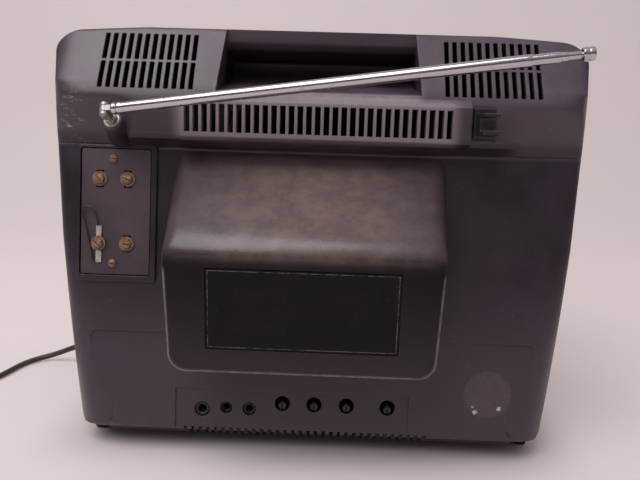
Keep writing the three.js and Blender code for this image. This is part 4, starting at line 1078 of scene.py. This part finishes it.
def terminal_board():
    places = [("vhf_terminal_screw_left", 10.825, 22.4, 0, 0.1),
        ("vhf_terminal_screw_right", -8.225, 22.4, 0, 0.5),
        ("uhf_terminal_screw_left", 11.025, -21.6, 0.9, 0.3),
        ("uhf_terminal_screw_right", -8.025, -21.6, 0, 0.9)]
    fixings = [("board_screw_upper", 1.8, 36.2), ("board_screw_lower", 1.6, -35.2)]
    plate = prism("board", rounded_rect(0, 0, BOARD_W, BOARD_H, 2, 6), "y", -0.3, 1.1, on_board)
    bevelled(plate, 0.3, 2)

    def slot_at(x, z):
        return block("slot", (x - 2.7, x + 2.7), (-3, 3), (z - 5.8, z + 5.8), on_board)

    spots = [(x, z) for _, x, z, _, _ in places]
    cut(plate, joined("cutters", [slot_at(x, z) for x, z in spots]))
    pad_profile = [(0, 0.9), (5.6, 0.9), (5.6, 1.25), (5.3, 1.35), (0, 1.35)]
    pads = [cut(turned("pad", pad_profile, at_board(x, z), 32), slot_at(x, z)) for x, z in spots]
    for x, z in spots:
        add(plate, block("bar", (x - 3.4, x + 3.4), (-3, -0.15), (z - 2.6, z + 2.6), on_board))
    cut(plate, *[bar(1.7, -6, 3, at_board(x, z), 20) for x, z in spots])
    cut(plate, *[bar(1.8, -6, 3, at_board(x, z), 20) for _, x, z in fixings])
    plate = joined("terminal_plate", [plate, *pads])
    fit_out(plate, "cabinet", BOARD, ["terminal_board"], 35)
    for name, x, z, lift, phase in places:
        screw(name, x, z, lift, phase)
    for name, x, z in fixings:
        piece = turned(name + "_piece", [(0, -6), (1.4, -6), (1.4, 1.3), (2.9, 1.3), (2.95, 1.7),
            (2.5, 2.5), (1.6, 3), (0, 3.1)], at_board(x, z), 28)
        cut(piece, block("slot", (x - 2, x + 2), (2.3, 4), (z - 0.35, z + 0.35), on_board))
        fit_out(piece, "cabinet", RUST, [name], 35)
    x, z = places[2][1:3]
    strip = block("lug", (x - 1.9, x + 1.9), (1.4, 1.95), (z - 13, z + 12), on_board)
    strip = bevelled(cut(strip, bar(1.7, 0, 4, at_board(x, z), 24)), 0.12, 2)
    strip.name = "aerial_lug"
    fit_out(strip, "cabinet", LUG, ["terminal_lug"], 35)
    path = through([(x + 0.3, 2.8, -9.7), (12, 3, -5.8), (14, 3.2, 1), (17.6, 3.2, 3.4), (20.8, 3, 2.4),
        (22, 2.8, -1.4), (20.6, 2.6, -7), (18.4, 2.4, -16.7), (15.8, 2.2, -28), (15, 2.1, -34)], 6)
    wire = tube_mesh("aerial_wire", [on_board(q) for q in path], 0.5 * MM)
    fit_out(wire, "cabinet", CORD, ["terminal_wire"], 60)


def tube_mesh(name, path, radius, sides=10):
    """A round tube through points in metres."""
    points, faces = [], []
    up = Vector((0, 1, 0))
    for i, p in enumerate(path):
        tangent = (path[min(i + 1, len(path) - 1)] - path[max(i - 1, 0)]).normalized()
        side = tangent.cross(up).normalized()
        up = side.cross(tangent).normalized()
        for k in range(sides):
            a = 2 * math.pi * k / sides
            points.append(p + side * radius * math.cos(a) + up * radius * math.sin(a))
    for i in range(len(path) - 1):
        for k in range(sides):
            j = (k + 1) % sides
            faces.append((i * sides + k, i * sides + j, (i + 1) * sides + j, (i + 1) * sides + k))
    faces += [tuple(range(sides)), tuple((len(path) - 1) * sides + k for k in range(sides))]
    return make_mesh(name, points, faces, Vector)


terminal_board()

# ---------------------------------------------------------------- jacks, shafts, label, feet


def small_back_pieces():
    for name, x, z, hole in JACKS:
        y = lower_face(z) - 2.6
        bore, outer = hole * 0.52, hole - 0.5
        sleeve = turned(name + "_sleeve", [(bore, y - 16), (outer, y - 16), (outer, y - 1.0),
            (outer - 0.3, y - 0.5), (outer - 0.8, y - 0.4), (bore + 0.9, y - 0.4), (bore + 0.4, y - 0.7),
            (bore, y - 1.4), (bore, y - 16)], along_y(x, z), 36)
        fit_out(sleeve, "cabinet", SHAFT, [name], 35)
    for name, x, z in SHAFTS:
        y, low = lower_face(z) - 2.2, z - 1.6
        shaft = turned(name + "_spindle", [(0, y - 30), (7, y - 30), (7, y - 18), (3, y - 18),
            (3, y - 0.8), (2.75, y - 0.25), (2.4, y), (0, y)], along_y(x, low), 32)
        cut(shaft, block("slot", (x - 0.5, x + 0.5), (y - 2, y + 2), (low - 4, low + 4)))
        fit_out(shaft, name, SHAFT, [name + "_shaft"], 35)
    label = bevelled(on_label(115, 49.5, -0.7, 0.02), 0.12, 2)
    label.name = "plain_label"
    fit_out(label, "cabinet", LABEL, ["rating_plate"], 35)
    for name, x, y, top in (("foot_rear_left", 157.5, -26, 14.6), ("foot_rear_right", -157.5, -26, 14.6),
            ("foot_front_left", 157.5, -196, 5.7), ("foot_front_right", -157.5, -196, 5.7)):
        levels = [(0, 7, 15), (0.4, 8.4, 16.4), (1.4, 9.2, 17.2), (top - 0.3, 13, 21), (top, 13, 21)]
        rings = [[(u, v, z) for u, v in rounded_rect(x, y, w, h, 3, 6)] for z, w, h in levels]
        fit_out(loft(name + "_pad", rings), "cabinet", RUBBER, [name], 40)
    for i, x in enumerate(COVER_SCREW_X):
        head = turned(f"cover_screw_head_{i + 1}", [(0, 12.4), (1.2, 12.1), (2.9, 12), (3.4, 12.5),
            (3.4, 14.4), (1.6, 14.4), (1.6, 19.6), (0, 19.6)], along_z(x, COVER_SCREW_Y), 28)
        cross = [block("slot", (x - 1.8, x + 1.8), (-40.3, -39.7), (11, 13.3)),
            block("slot", (x - 0.3, x + 0.3), (-41.8, -38.2), (11, 13.3))]
        cut(head, *cross)
        fit_out(head, "cabinet", STEEL, [f"cover_screw_{i + 1}"], 35)


def label_material():
    """Dark satin foil with a fine light rule round its edge and no print."""
    n = Nodes("label_foil")
    axes = n.axes()
    x = n.away(axes["X"], NECK_X * MM)
    z = n.away(axes["Z"], LABEL_Z * MM)
    inset = n.math("MINIMUM", n.minus(0.0575, x), n.minus(0.0247, z))
    line = n.ramp(n.away(inset, 0.0011), 0.0001, 0.00028, 1, 0)
    worn = n.ramp(n.noise(0.004, 4, 0.7), 0.35, 0.6)
    dark = n.mix(n.ramp(n.noise(0.02, 5), 0.3, 0.7), srgb(12, 9, 13), srgb(20, 15, 20))
    dusty = n.mix(n.ramp(n.noise(0.0018, 3, 0.6), 0.6, 0.8, 0, 0.12), dark, srgb(110, 100, 104))
    n.set(Base_Color=n.mix(n.times(line, n.times(worn, 0.25)), dusty, srgb(190, 182, 186)),
        Specular_IOR_Level=0.15, Roughness=n.ramp(n.noise(0.012, 4), 0.3, 0.7, 0.3, 0.45),
        Normal=n.bump(n.noise(0.0012, 3), 0.04, 0.0001))
    return n


LABEL = label_material()
small_back_pieces()

# ---------------------------------------------------------------- front

SCREEN_X, SCREEN_Z = -46, 148
PLATE_X, PLATE_LOW, PLATE_TOP, PLATE_WIDTH = 140, 117, 258, 84
SPEAKER_X, SPEAKER_Z, SPEAKER_SIZE = 140, 72, 72
# body, node, x, z, radius, and the y of its back and of its end
KNOBS = [
    ("vhf_selector", "vhf_channel_knob", 140, 222, 17, -221.5, -232),
    ("uhf_selector", "uhf_channel_knob", 140, 172, 20, -219, -231),
    ("volume", "volume_knob", 113, 134, 8, -219, -230),
    ("brightness", "brightness_knob", 140, 134, 8, -219, -230),
    ("contrast", "contrast_knob", 167, 134, 8, -219, -230),
]
# by knob radius: how many marks, the angle of the first, the angle they span, their gap to the knob
DIALS = {17: (13, 0, 360, 7.4), 20: (15, -135, 270, 2.6), 8: (11, -150, 300, 2.6)}
GRILLE_SLOTS, GRILLE_PITCH, GRILLE_FIRST = 11, 5.6, 28.5


def front_bezel():
    def at(half, y, inset=0.0):
        return section(outline(half, 1.5, 295, 6, 22, 18, inset), y)

    body = loft("bezel", [at(192.5, -215, 3), at(192.5, -214.6, 2), at(192.5, -213.6, 1.1),
        at(192.5, -212, 0.4), at(192.5, -210), at(190.1, -157), at(189.9, -155, 0.6)])
    inside = loft("inside", [at(192.5, -211.5, 3.2), at(189.9, -150, 3.2)])

    def rim(y, grow):
        return section(rounded_rect(SCREEN_X, SCREEN_Z, 250 + grow, 196 + grow, 20 + grow / 2, 12), y)

    surround = loft("surround", [rim(-214.5, 22), rim(-205, 7)])
    opening = loft("opening", [rim(-219, 19), rim(-215, 17.6), rim(-213.6, 16), rim(-204, 0)])
    panel_hole = block("hole", (PLATE_X - 38, PLATE_X + 38), (-218, -210), (PLATE_LOW + 4, PLATE_TOP - 4))
    reach = SPEAKER_SIZE / 2 - 3
    speaker_hole = block("hole", (SPEAKER_X - reach, SPEAKER_X + reach), (-218, -210),
        (SPEAKER_Z - reach, SPEAKER_Z + reach))
    cut(body, inside)
    add(body, surround)
    cut(body, opening, panel_hole, speaker_hole)
    body.name = "front_moulding"
    fit_out(body, "cabinet", CABINET, ["front_bezel"], 35)


def spun(x, z, angle):
    """Places what stands upright on an axis along Y after turning it about that axis."""
    turn = Matrix.Translation((x, 0, z)) @ Matrix.Rotation(angle, 4, "Y")
    return lambda p: metres(turn @ Vector(p))


def front_plates():
    """The control plate with its marks, and the slotted plate in front of the loudspeaker."""
    def sheet(less, radius, *depth):
        """A sheet of the control plate's outline, smaller by some millimetres."""
        height = PLATE_TOP - PLATE_LOW
        shape = rounded_rect(PLATE_X, PLATE_LOW + height / 2, PLATE_WIDTH - less, height - less, radius, 6)
        return prism("sheet", shape, "y", *depth)

    plate = bevelled(sheet(0, 4, -217.3, -215.3), 0.4, 2)
    line = cut(sheet(5, 2.5, -218, -217.1), sheet(6, 2, -219, -216))
    cut(plate, line, *[bar(5.5, -221, -211, along_y(x, z)) for _, _, x, z, _, _, _ in KNOBS])
    marks = []
    for _, _, x, z, radius, _, _ in KNOBS:
        count, first, span, gap = DIALS[radius]
        start = radius + gap
        for i in range(count):
            angle = math.radians(first + span * i / (count if span == 360 else count - 1))
            place = spun(x, z, angle)
            marks.append(block("mark", (-0.35, 0.35), (-217.8, -217.1), (start, start + 2), place))
    cut(plate, joined("marks", marks))
    plate.name = "control_plate"
    fit_out(plate, "cabinet", SATIN, ["control_panel"], 35)

    shape = rounded_rect(SPEAKER_X, SPEAKER_Z, SPEAKER_SIZE, SPEAKER_SIZE + 4, 4, 6)
    grille = bevelled(prism("grille", shape, "y", -217.3, -215.3), 0.4, 2)
    openings = []
    for i in range(GRILLE_SLOTS):
        z = SPEAKER_Z - GRILLE_FIRST + GRILLE_PITCH * i
        openings.append(prism("slot", rounded_rect(SPEAKER_X, z, 60, 3, 1.45, 5), "y", -220, -210))
    cut(grille, joined("openings", openings))
    grille.name = "speaker_slots"
    fit_out(grille, "cabinet", BLACK, ["speaker_grille"], 35)


def knob(body, node, x, z, radius, front, end):
    """A knob with a ribbed side, a dished metal cap and a pointer."""
    place = along_y(x, z)
    ribs = 48 if radius > 10 else 30
    rings = []
    for y, draft in ((front - 2.4, 0), (end + 1.2, 0.5), (end + 0.4, 0.9)):
        reach = [radius - draft - 0.45 * (i % 2) for i in range(2 * ribs)]
        turns = [math.pi * i / ribs for i in range(2 * ribs)]
        rings.append([(r * math.cos(a), y, r * math.sin(a)) for r, a in zip(reach, turns)])
    grip = loft("grip", rings, place)

    def pointer():
        return block("pointer", (x - 0.5, x + 0.5), (end - 1, end + 1.2), (z + radius * 0.35, z + radius + 1))

    flange = turned("flange", [(0, -206), (3, -206), (3, front), (radius + 0.6, front),
        (radius + 1, front - 0.4), (radius + 1, front - 1.2), (radius + 0.4, front - 1.8),
        (radius - 1, front - 2.6), (0, front - 2.6)], place)
    cap = turned("cap", [(0, end + 0.5), (radius - 1.6, end + 0.5), (radius - 1.9, end),
        (radius - 2.6, end + 0.1), (radius * 0.5, end + 0.35), (0, end + 0.4)], place)
    piece = add(flange, grip)
    cut(piece, pointer())
    piece.name = node + "_grip"
    fit_out(piece, body, BLACK, [node], 30)
    cut(cap, pointer())
    cap.name = node + "_cap"
    fit_out(cap, body, SATIN, [], 30)


def fine_tuning():
    x, z = KNOBS[0][2:4]
    ring = turned("ring", [(4.4, -217.8), (4.4, -221), (21.6, -221), (22.4, -220.8), (22.6, -220.2),
        (22.6, -218.2), (22.2, -217.8), (4.4, -217.8)], along_y(x, z), 96)
    notches = [block("notch", (-0.4, 0.4), (-222, -217), (22.1, 24), spun(x, z, 2 * math.pi * i / 40))
        for i in range(40)]
    cut(ring, joined("notches", notches))
    ring.name = "fine_tuning_grip"
    fit_out(ring, "fine_tuning", SATIN, ["fine_tuning_ring"], 30)


def tube_glass():
    """Grey glass that goes dark in front of the phosphor, silvery black behind it."""
    n = Nodes("tube_glass")
    y = n.axes()["Y"]
    front = n.ramp(y, -0.112, -0.104, 1, 0)
    base = n.mix(front, n.mix(n.noise(0.05, 4), srgb(26, 26, 28), srgb(46, 45, 46)), srgb(86, 92, 88))
    n.set(Base_Color=base, Roughness=n.ramp(front, 0, 1, 0.5, 0.06), Coat_Weight=front, Coat_Roughness=0.03)
    return n


def windings(name, colour, pitch=0.0009):
    """Enamelled wire laid side by side."""
    n = Nodes(name)
    wave = n.node("TexWave", wave_profile="SIN", bands_direction="Y")
    n.plug(n.object, wave.inputs["Vector"])
    n.plug(0.31 / pitch, wave.inputs["Scale"])
    n.set(Base_Color=n.mix(n.noise(0.01, 4), srgb(*colour),
        tuple(c * 0.6 for c in srgb(*colour)[:3]) + (1,)), Metallic=0.6, Roughness=0.4,
        Normal=n.bump(wave.outputs["Fac"], 0.5, 0.0003))
    return n


def circuit_board():
    n = Nodes("circuit_board")
    tracks = n.ramp(n.noise(0.004, 2, 0.3, stretch=(1, 0.25, 1)), 0.5, 0.54)
    n.set(Base_Color=n.mix(tracks, srgb(112, 86, 46), srgb(140, 112, 64)),
        Roughness=n.ramp(tracks, 0, 1, 0.6, 0.35), Normal=n.bump(tracks, 0.2, 0.0001))
    return n


def inner_pieces():
    """Looks of the pieces inside the cabinet, which keep the shapes they have."""
    tin = metal("tinned_can", (176, 174, 168), 0.38, 0.4, scratches=0.25)
    board = circuit_board()
    looks = {"picture_tube": tube_glass(), "tube_rim_band": tin,
        "deflection_yoke": windings("yoke_windings", (150, 84, 44)), "centering_magnets": STEEL,
        "tube_base": BLACK, "neck_socket_board": board, "main_circuit_board": board, "vhf_tuner": tin,
        "uhf_tuner": tin, "power_transformer": windings("laminations", (120, 116, 112), 0.0005),
        "flyback_transformer": BLACK, "anode_cap": RUBBER, "anode_lead": RUBBER, "loudspeaker": tin}
    for name, nodes in looks.items():
        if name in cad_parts:
            dress(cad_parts[name], nodes)
    for name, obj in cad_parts.items():
        if not obj.hide_render and name not in looks:
            dress(obj, STEEL)


front_bezel()
front_plates()
for row in KNOBS:
    knob(*row)
fine_tuning()
inner_pieces()

# ---------------------------------------------------------------- stage

def area_light(name, location, target, size, energy, colour=(1, 1, 1)):
    data = bpy.data.lights.new(name, "AREA")
    data.shape = "RECTANGLE"
    data.size, data.size_y = size
    data.energy = energy
    data.color = colour
    light = link(bpy.data.objects.new(name, data))
    light.location = location
    light.visible_camera = False
    light.rotation_euler = (Vector(target) - Vector(location)).to_track_quat("-Z", "Y").to_euler()
    return light


def make_stage():
    """A pale table that curves up into a pale wall behind the set."""
    rows = [(3.0, 0), (-0.9, 0)] + [(-0.9 - 0.35 * math.sin(a), 0.35 * (1 - math.cos(a)))
        for a in [math.radians(6 * i) for i in range(1, 16)]] + [(-1.25, 3.0)]
    points = [(x, y, z) for y, z in rows for x in (-4, 4)]
    faces = [(2 * i, 2 * i + 1, 2 * i + 3, 2 * i + 2) for i in range(len(rows) - 1)]
    stage = make_mesh("stage", points, faces, Vector)
    for polygon in stage.data.polygons:
        polygon.use_smooth = True
    n = Nodes("stage_surface")
    axes = n.axes()
    across = n.ramp(n.math("ABSOLUTE", axes["X"]), 0.15, 0.21, 1, 0)
    along = n.ramp(n.math("ABSOLUTE", n.plus(axes["Y"], 0.03)), 0.1, 0.16, 1, 0)
    under = n.times(across, along)
    tint = srgb(212, 202, 200)
    # the glow stops under the set, which paints its shadow on the table
    n.set(Base_Color=tint, Roughness=0.6, Emission_Color=tint,
        Emission_Strength=n.times(n.minus(1.0, under), 0.3))
    dress(stage, n)


def light_stage():
    """A dim room that brightens overhead, and a broad window light from the side."""
    world = bpy.data.worlds.new("world")
    world.use_nodes = True
    tree = world.node_tree
    back = tree.nodes["Background"]
    split = tree.nodes.new("ShaderNodeSeparateXYZ")
    tree.links.new(tree.nodes.new("ShaderNodeTexCoord").outputs["Generated"], split.inputs[0])
    height = tree.nodes.new("ShaderNodeMapRange")
    tree.links.new(split.outputs["Z"], height.inputs["Value"])
    for key, value in (("From Min", 0.0), ("From Max", 0.9), ("To Min", 0.05), ("To Max", 0.62)):
        height.inputs[key].default_value = value
    tree.links.new(height.outputs[0], back.inputs["Strength"])
    back.inputs["Color"].default_value = srgb(240, 234, 240)
    scene.world = world
    area_light("key", (0.6, 0.9, 1.55), (0, 0, 0.15), (1.3, 1.3), 20)
    scene.view_settings.view_transform = "Standard"
    scene.view_settings.look = "None"


make_stage()
light_stage()
